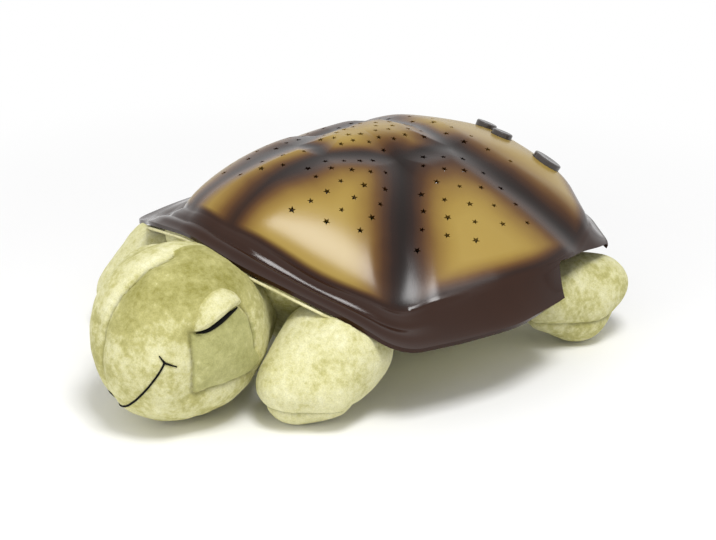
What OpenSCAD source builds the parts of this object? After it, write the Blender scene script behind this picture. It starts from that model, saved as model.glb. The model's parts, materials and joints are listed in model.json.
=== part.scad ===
// Turtle night light: a hard star-pierced shell on a stuffed plush turtle.
// Millimetres. Head towards -Y, turtle's left towards +X, +Z up, table at Z 0.
// The forms are laid out from the middle of the shell; placed() moves them so that the
// origin lies under the middle of the whole object.

/* [Shell outline] */
// Widest span of the shell, across the bridges between the legs
shell_w = 278; // [266:1:290]
// Reach of the brow over the head, ahead of the origin
brow_y = 124; // [120:1:128]
// Width of the straight brow over the head
brow_w = 84; // [76:1:92]
// Height of the brow's edge over the table
brow_z = 86; // [83:1:89]
// Distance between the two sharp front corners
corner_w = 250; // [242:1:256]
// How far the front corners lie ahead of the origin
corner_y = 79; // [75:1:83]
// Height of the bridge edge between the legs
bridge_z = 46; // [43:1:49]
// Reach of the tail edge behind the origin
tail_y = 135; // [130:1:140]
// Height of the tail edge
tail_z = 58; // [55:1:60]
// Where the arch over the rear leg starts, behind the origin
arch_y = 36; // [33:1:40]
// Height of the arch over the rear leg
arch_z = 66; // [63:1:68]

/* [Shell dome] */
// Height of the crest
crest_z = 119; // [115:1:124]
// Wall thickness of the moulding
wall = 2.4; // [2:0.1:3]
// Height of the crease where the scutes meet the skirt, at the bridges
crease_z = 67; // [64:1:69]
// Depth of the grooves between the scutes
groove_depth = 5.5; // [4:0.5:6.5]
// Distance over which a scute falls into its groove
groove_w = 15; // [12:1:18]

/* [Star holes] */
// Number of star holes
star_count = 46; // [20:1:60]
// Tip-to-tip size of a star
star_d = 5; // [4:0.5:6]

/* [Buttons] */
// Diameter of the colour and timer buttons
small_d = 13; // [11:0.5:14]
// Diameter of the power button
power_d = 18; // [16:0.5:20]
// How far a button stands out of the shell
button_proud = 2.8; // [2.4:0.1:3.2]
// Travel of a button
travel = 1.2; // [0.8:0.1:1.4]
// Distance between the colour and timer buttons
button_pitch = 20; // [18:0.5:22]
// Diameter of a button's stem
stem_d = 6; // [5:0.5:7]

/* [Base] */
// Width of the base tray's plate
tray_w = 190; // [170:2:196]
// Front-to-back length of the plate
tray_l = 156; // [140:2:160]
// Height of the plate's underside
tray_z = 47.5; // [46:0.5:49]
// Thickness of the plate
tray_t = 2.5; // [2:0.25:3]
// Distance between the shell screws, side to side
screw_x = 150; // [130:2:160]
// Distance between the shell screws, front to back
screw_y = 110; // [96:2:116]
// Height of the battery door's underside
door_z = 2; // [1.5:0.25:3]
// Thickness of the battery door
door_t = 2.4; // [2:0.2:3]
// Diameter of a battery cell
cell_d = 14.2; // [13.8:0.1:14.5]
// Length of a battery cell
cell_l = 50; // [49.5:0.1:50.5]

/* [Electronics] */
// Width of the main circuit board
board_w = 72; // [60:1:84]
// Length of the main circuit board
board_l = 50; // [44:1:60]
// Height of the board above the tray
board_lift = 6; // [5:0.5:9]
// Thickness of every circuit board
board_t = 1.6; // [1.2:0.2:2]
// Diameter of a lamp
led_d = 5; // [4:0.5:6]

/* [Plush] */
// Radius of the head
head_r = 47; // [44:1:49]
// How far the head lies ahead of the origin
head_y = 150; // [146:1:154]
// How far the head leans towards the turtle's left
head_x = 28; // [20:1:32]
// Half width of the belly where it rests on the table
belly_foot = 50; // [47:1:53]
// Depth of the flat where a plush part rests on the table
rest_flat = 0.5; // [0.4:0.1:0.8]
// Radius of a front foot at its root
front_foot_r = 25; // [23:1:26]
// Radius of a rear foot at its root
rear_foot_r = 24; // [22:1:25]
// Reach of the tail's tip behind the shell's edge
tail_tip = 15; // [10:1:20]

/* [Hidden] */

// Clearances
gap = 0.3;         // between soft pieces, and between a loose piece and its seat
run_gap = 0.05;    // between a button's stem and its sleeve, all round
hole_gap = 0.4;    // between a button and its opening in the shell, all round
screw_gap = 0.1;   // between a screw and its pilot bore, all round
seat_gap = 0.4;    // between the shell's edge and the plush pressed against it

// Shell grid
columns = 64;
dome_rows = 15;
brim_rows = 3;
soften = 4;        // degrees over which a corner of an outline is rounded

// Places of the buttons in plan: the two small ones about one point, the large one at another.
// Both keep their distance from the tail edge
small_x = 10;
small_y = tail_y - 38;
power_x = small_x + power_d / 2 + small_d / 2 + button_pitch / 2 + 16.5;
power_y = tail_y - 35;

arch_end = 93;     // where the arch over a rear leg meets the rear rim
// Rim from the brow to the tail, on the turtle's left
rim = [
    [0, -brow_y, brow_z],
    [brow_w / 2, 2 - brow_y, brow_z - 5.5],
    [corner_w / 2 - 27, -corner_y - 7, bridge_z + 9],
    [corner_w / 2, -corner_y, bridge_z],
    [shell_w / 2 - 5, -45, bridge_z],
    [shell_w / 2, -8, bridge_z],
    [shell_w / 2 - 8, arch_y, bridge_z],
    [shell_w / 2 - 15, 64, bridge_z + 4],
    [shell_w / 2 - 26, arch_end, tail_z - 1],
    [shell_w / 4, tail_y - 14, tail_z - 1],
    [0, tail_y, tail_z]];

// Crease between the scutes and the skirt
crease = [
    [0, 11 - brow_y, brow_z + 9],
    [brow_w / 2 - 17, 17 - brow_y, brow_z + 5],
    [corner_w / 2 - 60, -corner_y - 6, crease_z + 2],
    [corner_w / 2 - 28, 17 - corner_y, crease_z - 10.5],
    [shell_w / 2 - 33, -46, crease_z - 9],
    [shell_w / 2 - 15, 4, crease_z - 0.5],
    [shell_w / 2 - 12, 25, crease_z + 0.5],
    [shell_w / 2 - 17, 48, crease_z + 1.5],
    [shell_w / 2 - 36, 86, crease_z + 3],
    [shell_w / 4 - 6, tail_y - 23, crease_z + 3],
    [0, tail_y - 9, crease_z + 3]];

// Ends of the grooves in plan, on the turtle's left
front_end = [19, 12 - brow_y];
spine_bend = [13, -75];
spine_end = [12, -38];
middle_front = [0, -34];
side_front = [30, 4];
side_rear = [31, 40];
middle_rear = [0, 44];
side_mid = [68, -29];
side_end = [corner_w / 2 - 24, -56];
rear_mid = [88, 55];
rear_end = [shell_w / 2 - 17, 62];
grooves = [[front_end, spine_bend], [spine_bend, spine_end], [spine_end, middle_front],
    [spine_end, side_front], [side_front, side_mid], [side_mid, side_end],
    [side_front, side_rear], [side_rear, middle_rear], [side_rear, rear_mid],
    [rear_mid, rear_end]];

// Reach of the jaw in front and of the tail behind; the origin lies midway
jaw_front = head_y + 10 + (head_r - 8) * cos(180 / 22);
tail_back = tail_y + tail_tip - 4 + 4 * cos(180 / 12);
frame_y = (jaw_front - tail_back) / 2;
module placed() { translate([0, frame_y, 0]) children(); }

// ---- shell surface ----

function plan_angle(p) = atan2(p.y, p.x);
function cross2(p, a) = p.x * sin(a) - p.y * cos(a);

// Point of a half outline at an angle between -90 (brow) and 90 (tail)
function half_outline(knots, a) =
    let (i = max([for (k = [0 : len(knots) - 2]) if (plan_angle(knots[k]) <= a + 1e-6) k]),
         p = knots[i], q = knots[i + 1],
         share = cross2(p, a) / (cross2(p, a) - cross2(q, a)))
    p + (q - p) * share;

function outline(knots, a) =
    let (turn = (a + 450) % 360 - 90, far = turn > 90,
         p = half_outline(knots, far ? 180 - turn : turn))
    [far ? -p.x : p.x, p.y, p.z];

function sum_of(v, i = 0) = i == len(v) - 1 ? v[i] : v[i] + sum_of(v, i + 1);
function soft_outline(knots, a) =
    sum_of([for (k = [-1 : 0.5 : 1]) outline(knots, a + k * soften)]) / 5;

function distance_to(p, a, b) =
    let (share = max(0, min(1, ((p - a) * (b - a)) / ((b - a) * (b - a)))))
    norm(p - a - (b - a) * share);
function groove_distance(x, y) =
    min([for (g = grooves) distance_to([abs(x), y], g[0], g[1])]);

// Height of the dome without its grooves: straight sides, a rounder front and a full rear
function dome_z(reach, a, low) =
    let (front = max(0, -sin(a)), rear = max(0, sin(a)),
         swell = 1.2 + 1.4 * pow(front, 1.5) + 0.16 * rear,
         shoulder = 1.05 + 0.28 * pow(front, 4) + 1.5 * pow(rear, 3),
         eased = (sqrt(reach * reach + 0.0036) - 0.06) / 0.9418)
    low + (crest_z - low) * pow(max(0, 1 - pow(eased, swell)), 1 / shoulder);

// Point of the outer surface; reach 0 is the middle, 1 the crease and 2 the rim
function on_shell(reach, a) =
    let (c = soft_outline(crease, a))
    reach <= 1
    ? let (x = c.x * reach, y = c.y * reach, d = groove_distance(x, y) / groove_w)
      [x, y, dome_z(reach, a, c.z) - groove_depth * pow(max(0, 1 - d * d), 2)]
    : let (r = soft_outline(rim, a), k = min(1, reach - 1), d = groove_distance(c.x, c.y) / groove_w,
           dip = groove_depth * pow(max(0, 1 - d * d), 2) * pow(1 - k, 2))
      [c.x + (r.x - c.x) * k, c.y + (r.y - c.y) * k,
       c.z + (r.z - c.z) * (1 - pow(1 - k, 1.4)) - dip];

function unit(v) = v / norm(v);
function shell_normal(reach, a) =
    let (e = 0.02, near = max(e, min(reach, 2 - e)))
    unit(cross(on_shell(near + e, a) - on_shell(near - e, a),
               on_shell(near, a + 1) - on_shell(near, a - 1)));

// Reach and angle of a plan point on the dome
function plan_reach(x, y) = norm([x, y]) / norm([for (i = [0, 1]) soft_outline(crease, atan2(y, x))[i]]);
function over(x, y) = on_shell(plan_reach(x, y), atan2(y, x));
function normal_over(x, y) = shell_normal(plan_reach(x, y), atan2(y, x));

// Reach of each grid row; the first is the middle of the dome
reaches = concat([for (i = [1 : dome_rows]) i / dome_rows], [for (i = [1 : brim_rows]) 1 + i / brim_rows]);
function ring_point(reach, j, depth) =
    let (a = -90 + 360 * j / columns)
    on_shell(reach, a) - depth * shell_normal(reach, a);
function surface_points(depth) = concat([[0, 0, on_shell(0, 0).z - depth]],
    [for (r = reaches) for (j = [0 : columns - 1]) ring_point(r, j, depth)]);

// Faces of a surface whose points start at first, seen from outside when up is true
function wound(face, up) = up ? face : [face[2], face[1], face[0]];
function surface_faces(first, up) = let (rows = len(reaches)) [
    for (j = [0 : columns - 1]) let (k = (j + 1) % columns)
        each concat([wound([first, first + 1 + k, first + 1 + j], up)],
            [for (i = [0 : rows - 2])
                let (a = first + 1 + i * columns, b = a + columns)
                each [wound([a + j, a + k, b + k], up), wound([a + j, b + k, b + j], up)]])];

module shell_wall() {
    outer = surface_points(0);
    inner = surface_points(wall);
    n = len(outer);
    edge = n - columns;
    rim_faces = [for (j = [0 : columns - 1]) let (k = (j + 1) % columns)
        each [[edge + j, edge + k, n + edge + k], [edge + j, n + edge + k, n + edge + j]]];
    polyhedron(concat(outer, inner),
        concat(surface_faces(0, true), surface_faces(n, false), rim_faces));
}

// Solid from the middle of the wall down to the tray, which trims the posts inside the shell
module shell_core() {
    skin = surface_points(wall / 2);
    n = len(skin);
    edge = n - columns;
    floor_points = [for (j = [0 : columns - 1]) [skin[edge + j].x, skin[edge + j].y, 0]];
    sides = [for (j = [0 : columns - 1]) let (k = (j + 1) % columns)
        each [[edge + j, edge + k, n + k], [edge + j, n + k, n + j]]];
    polyhedron(concat(skin, floor_points), concat(surface_faces(0, true), sides,
        [[for (j = [0 : columns - 1]) n + j]]));
}

// Frame on the shell's outer surface at a plan point, its z axis along the normal
module on_surface(x, y) {
    n = normal_over(x, y);
    translate(over(x, y)) rotate([0, 0, -atan2(n.x, n.y)]) rotate([-acos(n.z), 0, 0]) children();
}

// Star holes on a sunflower spiral, close together near the crest
golden_angle = 137.508;
star_clear = 5;                         // least distance from a star's middle to a groove
// No star is cut over the guides and boards under the buttons
function over_controls(p) = p.y > small_y - 31 && p.x > small_x - 33 && p.x < power_x + 21;
star_list = [for (k = [0 : star_count - 1])
    let (a = k * golden_angle + 40, reach = 0.06 + 0.76 * pow((k + 0.5) / star_count, 0.7),
         p = on_shell(reach, a))
    if (groove_distance(p.x, p.y) > star_clear && !over_controls(p)) [p.x, p.y, k]];

module star(depth) {
    linear_extrude(depth)
        for (i = [0 : 4]) rotate(72 * i + 90)
            hull() {
                circle(d = star_d * 0.44, $fn = 5);
                translate([star_d / 2 - 0.3, 0]) circle(r = 0.3, $fn = 3);
            }
}

module star_holes() {
    for (s = star_list)
        on_surface(s.x, s.y) rotate(s[2] * 25) translate([0, 0, -2 * wall]) star(3 * wall);
}

// The arch over each rear leg, cut straight through the skirt
module leg_arches() {
    for (side = [-1, 1]) scale([side, 1, 1])
        translate([shell_w / 2 - 60, 0, 0]) rotate([90, 0, 90]) linear_extrude(80)
            polygon([[arch_y, 0], [arch_y, arch_z - 2], [arch_y + 2, arch_z],
                [arch_end, tail_z - 1], [arch_end, 0]]);
}

// ---- buttons ----
flange_d = 2.2;                         // how much wider a button's flange is than its cap
flange_top = -wall - 2.8;               // top of the flange below the shell's outer surface
flange_t = 1.2;
sleeve_top = flange_top - flange_t - travel - 0.3;
sleeve_l = 5;
plate_t = 2;
stem_end = sleeve_top - sleeve_l - 1;
switch_top = stem_end - travel - 0.05;
switch_h = 2.6;
board_top = switch_top - switch_h;
guide_post_d = 6;
guide_screw_d = 2;
guide_head_d = 4;
guide_head_h = 1.2;

module small_frame() { on_surface(small_x, small_y) children(); }
module power_frame() { on_surface(power_x, power_y) children(); }

module button(d) {
    edge = 0.8;
    rotate_extrude($fn = 48) polygon(concat(
        [[0, stem_end], [stem_d / 2, stem_end], [stem_d / 2, flange_top - flange_t],
         [d / 2 + flange_d / 2, flange_top - flange_t], [d / 2 + flange_d / 2, flange_top],
         [d / 2, flange_top]],
        [for (a = [0 : 30 : 90])
            [d / 2 - edge + edge * cos(a), button_proud - edge + edge * sin(a)]],
        [[d / 4, button_proud - 0.1], [0, button_proud - 0.3]]));
}

// Ears of a guide lie half a span from its middle on the given axis
small_span = button_pitch + small_d + flange_d + guide_post_d + 2;
power_span = power_d + flange_d + guide_post_d + 2;

module guide_plate(length, width) {
    translate([-length / 2, -width / 2, sleeve_top - sleeve_l]) cube([length, width, plate_t]);
}
module guide_bores(span) {
    for (s = [-1, 1]) translate([s * span / 2, 0, sleeve_top - sleeve_l - 1])
        cylinder(d = guide_screw_d + 2 * screw_gap, h = plate_t + 2, $fn = 24);
}
module sleeve_bore() {
    translate([0, 0, sleeve_top - sleeve_l - 1])
        cylinder(d = stem_d + 2 * run_gap, h = sleeve_l + 2, $fn = 48);
}
module sleeve() {
    translate([0, 0, sleeve_top - sleeve_l]) cylinder(d = stem_d + 4, h = sleeve_l, $fn = 48);
}
module board_legs(span) {
    for (s = [-1, 1]) translate([s * span / 2, 0, board_top])
        difference() {
            cylinder(d = guide_post_d - 0.5, h = sleeve_top - sleeve_l - board_top, $fn = 24);
            translate([0, 0, -1]) cylinder(d = guide_screw_d + 2 * screw_gap,
                h = sleeve_top - sleeve_l - board_top + 2, $fn = 24);
        }
}

module small_button_guide() {
    placed() color("dimgray") small_frame() {
        difference() {
            union() {
                guide_plate(small_span + guide_post_d, stem_d + 8);
                for (s = [-1, 1]) translate([s * button_pitch / 2, 0, 0]) sleeve();
            }
            guide_bores(small_span);
            for (s = [-1, 1]) translate([s * button_pitch / 2, 0, 0]) sleeve_bore();
        }
        board_legs(small_span);
    }
}
module power_button_guide() {
    placed() color("dimgray") power_frame() rotate(90) {
        difference() {
            union() {
                guide_plate(power_span + guide_post_d, stem_d + 8);
                sleeve();
            }
            guide_bores(power_span);
            sleeve_bore();
        }
        board_legs(power_span);
    }
}

module control_board(span) {
    difference() {
        translate([-span / 2 - 4, -6, board_top - board_t]) cube([span + 8, 12, board_t]);
        for (s = [-1, 1]) translate([s * span / 2, 0, board_top - board_t - 1])
            cylinder(d = guide_screw_d + 2 * screw_gap, h = board_t + 2, $fn = 24);
    }
}
module small_button_board() { placed() color("darkgreen") small_frame() control_board(small_span); }
module power_button_board() {
    placed() color("darkgreen") power_frame() rotate(90) control_board(power_span);
}

module tact_switch() {
    translate([-3, -3, board_top]) cube([6, 6, switch_h - 0.6]);
    translate([0, 0, board_top + switch_h - 0.6]) cylinder(d = 3.4, h = 0.6, $fn = 24);
}
module button_switches() {
    placed() color("silver") {
        small_frame() for (s = [-1, 1]) translate([s * button_pitch / 2, 0, 0]) tact_switch();
        power_frame() tact_switch();
    }
}

module guide_screw() {
    low = board_top - board_t;
    length = sleeve_top - sleeve_l + plate_t + 4 - low;
    translate([0, 0, low - guide_head_h]) cylinder(d = guide_head_d, h = guide_head_h, $fn = 24);
    translate([0, 0, low]) cylinder(d = guide_screw_d, h = length, $fn = 24);
}
module guide_screws() {
    placed() color("gainsboro") {
        small_frame() for (s = [-1, 1]) translate([s * small_span / 2, 0, 0]) guide_screw();
        power_frame() rotate(90) for (s = [-1, 1]) translate([s * power_span / 2, 0, 0]) guide_screw();
    }
}

// Posts under the shell that the guides are screwed to
post_end = sleeve_top - sleeve_l + plate_t + 0.02;
module guide_posts(span) {
    for (s = [-1, 1]) translate([s * span / 2, 0, post_end])
        cylinder(d = guide_post_d, h = 30, $fn = 20);
}
module guide_post_bores(span) {
    for (s = [-1, 1]) translate([s * span / 2, 0, post_end - 1])
        cylinder(d = guide_screw_d + 2 * screw_gap, h = 6, $fn = 16);
}

module button_colour() {
    placed() color("black") small_frame() translate([-button_pitch / 2, 0, 0]) button(small_d);
}
module button_timer() {
    placed() color("black") small_frame() translate([button_pitch / 2, 0, 0]) button(small_d);
}
module button_power() { placed() color("black") power_frame() button(power_d); }

// ---- shell ----
tray_top = tray_z + tray_t;
tray_mid_y = 8;                         // middle of the plate, front to back
tray_r = 34;                            // radius of the plate's corners
shell_post_d = 9;
shell_screw_d = 3;
shell_screw_l = 14;
function at_corners(x, y) = [for (i = [-1, 1], j = [-1, 1]) [i * x / 2, j * y / 2]];

module shell_posts() {
    for (p = at_corners(screw_x, screw_y)) translate([p.x, p.y + tray_mid_y, tray_top])
        cylinder(d = shell_post_d, h = crest_z, $fn = 20);
    small_frame() guide_posts(small_span);
    power_frame() rotate(90) guide_posts(power_span);
}
module shell_bores() {
    for (p = at_corners(screw_x, screw_y)) translate([p.x, p.y + tray_mid_y, tray_top - 1])
        cylinder(d = shell_screw_d + 2 * screw_gap, h = shell_screw_l + 1, $fn = 16);
    small_frame() {
        guide_post_bores(small_span);
        for (s = [-1, 1]) translate([s * button_pitch / 2, 0, 2 - 4 * wall])
            cylinder(d = small_d + 2 * hole_gap, h = 6 * wall, $fn = 32);
    }
    power_frame() {
        rotate(90) guide_post_bores(power_span);
        translate([0, 0, 2 - 4 * wall]) cylinder(d = power_d + 2 * hole_gap, h = 6 * wall, $fn = 32);
    }
}
module shell() {
    placed() color("saddlebrown") difference() {
        union() {
            shell_wall();
            intersection() {
                shell_posts();
                shell_core();
            }
        }
        star_holes();
        leg_arches();
        shell_bores();
    }
}

// ---- base tray and battery bay ----
bay_wall = 2;
cells = 3;
cell_pitch = cell_d + 0.9;
contact_t = 0.5;
spring_l = 5;
nub_l = 1.2;
bay_w = cells * cell_pitch + 1;
bay_l = cell_l + spring_l + 2 * contact_t + 0.6;
bay_y = 6;                              // middle of the battery bay
door_top = door_z + door_t;
cell_z = door_top + 0.5 + cell_d / 2;
web_z = cell_z + cell_d / 2 + 1;
web_t = 2;
door_boss_d = 9;
door_screw_d = 3;
door_screw_y = bay_l / 2 + bay_wall + door_boss_d / 2 - 1;   // each boss grows out of the bay's wall
door_boss_l = 14;
door_l = 2 * door_screw_y + door_boss_d;
head_h = 1.6;
head_d = 5.6;

module rounded_block(size, r) {
    translate([-size.x / 2 + r, -size.y / 2, 0]) cube([size.x - 2 * r, size.y, size.z]);
    translate([-size.x / 2, -size.y / 2 + r, 0]) cube([size.x, size.y - 2 * r, size.z]);
    for (p = at_corners(size.x - 2 * r, size.y - 2 * r)) translate([p.x, p.y, 0])
        cylinder(r = r, h = size.z, $fn = 48);
}

board_y = bay_y;
board_post_x = board_w - 8;
board_post_y = board_l - 8;
module base_tray() {
    placed() color("dimgray") difference() {
        union() {
            translate([0, tray_mid_y, tray_z]) rounded_block([tray_w, tray_l, tray_t], tray_r);
            translate([-bay_w / 2 - bay_wall, bay_y - bay_l / 2 - bay_wall, door_top])
                cube([bay_w + 2 * bay_wall, bay_l + 2 * bay_wall, tray_z - door_top + 1]);
            for (s = [-1, 1]) translate([0, bay_y + s * door_screw_y, door_top])
                cylinder(d = door_boss_d, h = tray_z - door_top + 1, $fn = 32);
            for (p = at_corners(board_post_x, board_post_y)) translate([p.x, p.y + board_y, tray_z])
                cylinder(d = 6, h = tray_t + board_lift, $fn = 32);
        }
        translate([-bay_w / 2, bay_y - bay_l / 2, door_top - 1])
            cube([bay_w, bay_l, web_z - door_top + 1]);
        translate([-bay_w / 2, bay_y - bay_l / 2, web_z + web_t])
            cube([bay_w, bay_l, tray_top - web_z - web_t + 1]);
        translate([bay_w / 2 - 5, bay_y, web_z - 1]) cylinder(d = 5, h = web_t + 2, $fn = 32);
        for (s = [-1, 1]) translate([0, bay_y + s * door_screw_y, door_top - 1])
            cylinder(d = door_screw_d + 2 * screw_gap, h = door_boss_l + 1, $fn = 32);
        for (p = at_corners(board_post_x, board_post_y)) translate([p.x, p.y + board_y, tray_top + 1])
            cylinder(d = guide_screw_d + 2 * screw_gap, h = board_lift, $fn = 24);
        for (p = at_corners(screw_x, screw_y)) translate([p.x, p.y + tray_mid_y, tray_z - 1])
            cylinder(d = shell_screw_d + 2 * screw_gap, h = tray_t + 2, $fn = 32);
    }
}

// Pan-head screw that points up, its head's top face at the origin
module screw_up(d, l, wide, high) {
    translate([0, 0, -high]) cylinder(d = wide, h = high, $fn = 32);
    cylinder(d = d, h = l, $fn = 32);
}
module shell_screws() {
    placed() color("gainsboro") for (p = at_corners(screw_x, screw_y))
        translate([p.x, p.y + tray_mid_y, tray_z])
            screw_up(shell_screw_d, tray_t + shell_screw_l - 2, head_d, head_h);
}

module battery_door() {
    placed() color("dimgray") difference() {
        union() {
            translate([0, bay_y, door_z]) rounded_block([bay_w + 2 * bay_wall, door_l, door_t], 4);
            for (s = [-1, 1]) translate([s * (bay_w / 2 - 1.4) - 0.8, bay_y - bay_l / 2 + 4, door_top])
                cube([1.6, bay_l - 8, 1.4]);
        }
        for (s = [-1, 1]) translate([0, bay_y + s * door_screw_y, door_z - 1]) {
            cylinder(d = door_screw_d + 2 * screw_gap, h = door_t + 2, $fn = 32);
            cylinder(d = head_d + 0.4, h = 1 + 0.9, $fn = 32);
        }
        for (i = [-2 : 2]) translate([-8, bay_y + i * 3 - 0.6, door_z - 1]) cube([16, 1.2, 1.5]);
    }
}
module door_screws() {
    placed() color("gainsboro") for (s = [-1, 1]) translate([0, bay_y + s * door_screw_y, door_z + 0.9])
        screw_up(door_screw_d, door_t + door_boss_l - 3, head_d, 1.2);
}

module cell() {
    rotate([-90, 0, 0]) {
        cylinder(d = cell_d, h = cell_l - nub_l, $fn = 48);
        translate([0, 0, cell_l - nub_l]) cylinder(d = 5.5, h = nub_l, $fn = 32);
    }
}
// Puts what follows in the frame of each cell, every second one turned round
module at_cells() {
    for (i = [0 : cells - 1]) translate([(i - (cells - 1) / 2) * cell_pitch, bay_y, cell_z])
        rotate(i % 2 * 180) translate([0, -bay_l / 2, 0]) children();
}
module batteries() {
    placed() color("goldenrod") at_cells() translate([0, contact_t + spring_l + 0.3, 0]) cell();
}
module battery_contacts() {
    placed() color("silver") at_cells() {
        translate([-5.5, 0, -5.5]) cube([11, contact_t, 11]);
        translate([-5.5, bay_l - contact_t, -5.5]) cube([11, contact_t, 11]);
    }
}

// Tube along points, with flat ends; sides are laid out round each point's own direction
function tube_points(path, r, sides) = [for (i = [0 : len(path) - 1])
    let (ahead = unit(path[min(i + 1, len(path) - 1)] - path[max(i - 1, 0)]),
         side = unit(cross(ahead, abs(ahead.z) > 0.9 ? [1, 0, 0] : [0, 0, 1])),
         up = cross(side, ahead))
    for (k = [0 : sides - 1]) path[i] + r * (side * cos(360 * k / sides) + up * sin(360 * k / sides))];
module tube(path, r, sides) {
    n = len(path);
    faces = [for (i = [0 : n - 2]) for (k = [0 : sides - 1])
        let (a = i * sides, b = a + sides, m = (k + 1) % sides)
        each [[a + k, a + m, b + m], [a + k, b + m, b + k]]];
    polyhedron(tube_points(path, r, sides), concat(faces,
        [[for (k = [sides - 1 : -1 : 0]) k], [for (k = [0 : sides - 1]) (n - 1) * sides + k]]));
}

spring_turns = 3;
function spring_path() = [for (i = [0 : spring_turns * 8])
    let (t = i / (spring_turns * 8), a = i * 45, r = 4.6 - 2.2 * t)
    [r * cos(a), contact_t + 0.55 + (spring_l - 0.8) * t, r * sin(a)]];
module battery_springs() { placed() color("silver") at_cells() tube(spring_path(), 0.4, 5); }

// ---- electronics ----
board_z = tray_top + board_lift;
board_face = board_z + board_t;
led_y = bay_y;
led_ring = 6;                           // distance of each lamp from the middle of the three
module circuit_board() {
    placed() color("darkgreen") difference() {
        translate([-board_w / 2, board_y - board_l / 2, board_z]) cube([board_w, board_l, board_t]);
        for (p = at_corners(board_post_x, board_post_y)) translate([p.x, p.y + board_y, board_z - 1])
            cylinder(d = guide_screw_d + 2 * screw_gap, h = board_t + 2, $fn = 24);
    }
}
module board_screws() {
    placed() color("gainsboro") for (p = at_corners(board_post_x, board_post_y))
        translate([p.x, p.y + board_y, board_face]) mirror([0, 0, 1])
            screw_up(guide_screw_d, board_t + board_lift - 2, guide_head_d, guide_head_h);
}
module chips() {
    placed() color("black") {
        translate([-board_w / 2 + 10, board_y - 6, board_face]) cube([8, 12, 1.8]);
        translate([board_w / 2 - 16, board_y - 3, board_face]) cube([5, 6, 1.5]);
        translate([board_w / 2 - 14, board_y + 12, board_face]) cylinder(d = 6, h = 8, $fn = 32);
    }
}
function led_place(i) = [led_ring * sin(120 * i), led_y + led_ring * cos(120 * i), board_face];
module led(i) {
    translate(led_place(i)) {
        cylinder(d = led_d + 0.8, h = 1, $fn = 32);
        cylinder(d = led_d, h = 6, $fn = 32);
        translate([0, 0, 6]) sphere(d = led_d, $fn = 32);
    }
}
module led_amber() { placed() color("orange") led(0); }
module led_green() { placed() color("limegreen") led(1); }
module led_blue() { placed() color("royalblue") led(2); }
module led_holder() {
    placed() color([0.12, 0.12, 0.12]) difference() {
        translate([0, led_y, board_face + 1 + gap])
            cylinder(r = led_ring + led_d / 2 + 2.5, h = 3.5, $fn = 48);
        for (i = [0 : 2]) translate(led_place(i)) cylinder(d = led_d + 2 * screw_gap, h = 9, $fn = 32);
    }
}

// ---- wiring, held inside ----
module battery_leads() {
    placed() color("firebrick") tube([
        [bay_w / 2 - 5, bay_y, web_z - 0.8], [bay_w / 2 - 5, bay_y, web_z + 6],
        [bay_w / 2 - 7, bay_y + 3, web_z + 14], [bay_w / 2 - 7, bay_y + 6, tray_z - 4],
        [bay_w / 2 - 7, bay_y + 8, tray_z + 2], [bay_w / 2 - 7, bay_y + 8, board_z - gap]], lead_d / 2, 6);
}
lead_d = 2.4;
module button_leads() {
    start = [board_w / 2 - 6, board_y + board_l / 2 - 9, board_face + gap];
    // Point below a control board, at a depth under it
    function under(x, y, depth) = over(x, y) + (board_top - board_t - depth) * normal_over(x, y);
    placed() color("firebrick") {
        tube([[8, start.y, start.z], [8, start.y, start.z + 4], [9, start.y + 10, start.z + 10],
            under(small_x, small_y, 6), under(small_x, small_y, gap)], lead_d / 2, 6);
        tube([start, start + [0, 0, 4], start + [4, 12, 9],
            under(power_x, power_y, 6), under(power_x, power_y, gap)], lead_d / 2, 6);
    }
}

// ---- plush ----
room_z = tray_z - gap;                  // height of the space under the shell at its middle
room_sides = 40;
skin_out = 1.2;                         // how far that space reaches out past the rim

// Everything from a little under the rim upwards, taken off whatever is pressed under the shell
module shell_room() {
    n = room_sides;
    ring = [for (j = [0 : n - 1]) let (a = -90 + 360 * j / n, p = on_shell(2, a),
        inner = p - wall * shell_normal(2, a), out = 1 + skin_out / norm([p.x, p.y]))
        [p.x * out, p.y * out, min(p.z, inner.z) - seat_gap]];
    top = [for (p = ring) [p.x, p.y, crest_z + 20]];
    polyhedron(concat(ring, top, [[0, 0, room_z]]), concat(
        [for (j = [0 : n - 1]) let (k = (j + 1) % n) each [[j, n + k, k], [j, n + j, n + k]]],
        [for (j = [0 : n - 1]) [j, (j + 1) % n, 2 * n]],
        [[for (j = [n - 1 : -1 : 0]) n + j]]));
}
// Space of the tray, its bay, its screws and the door
module tray_room() {
    side = 2 * gap;
    translate([0, tray_mid_y, tray_z - gap])
        rounded_block([tray_w + side, tray_l + side, crest_z], tray_r + gap);
    translate([0, bay_y, -1]) rounded_block([bay_w + 2 * bay_wall + side, door_l + side, crest_z], 4);
    for (p = at_corners(screw_x, screw_y)) translate([p.x, p.y + tray_mid_y, tray_z - head_h - gap])
        cylinder(d = head_d + side, h = head_h + 2, $fn = 24);
}
module under_table() { translate([-250, -250, -50]) cube([500, 500, 50]); }
module blob(p, r, facets = 18) { translate(p) sphere(r = r, $fn = facets); }
// Height of a blob's middle that leaves it a flat of the chosen depth on the table
function resting(r, facets = 18) = r * cos(180 / facets) - rest_flat;
module slab_disc(p, rx, ry, h) { translate(p) scale([rx, ry, 1]) cylinder(r = 1, h = h, $fn = 28); }

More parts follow.
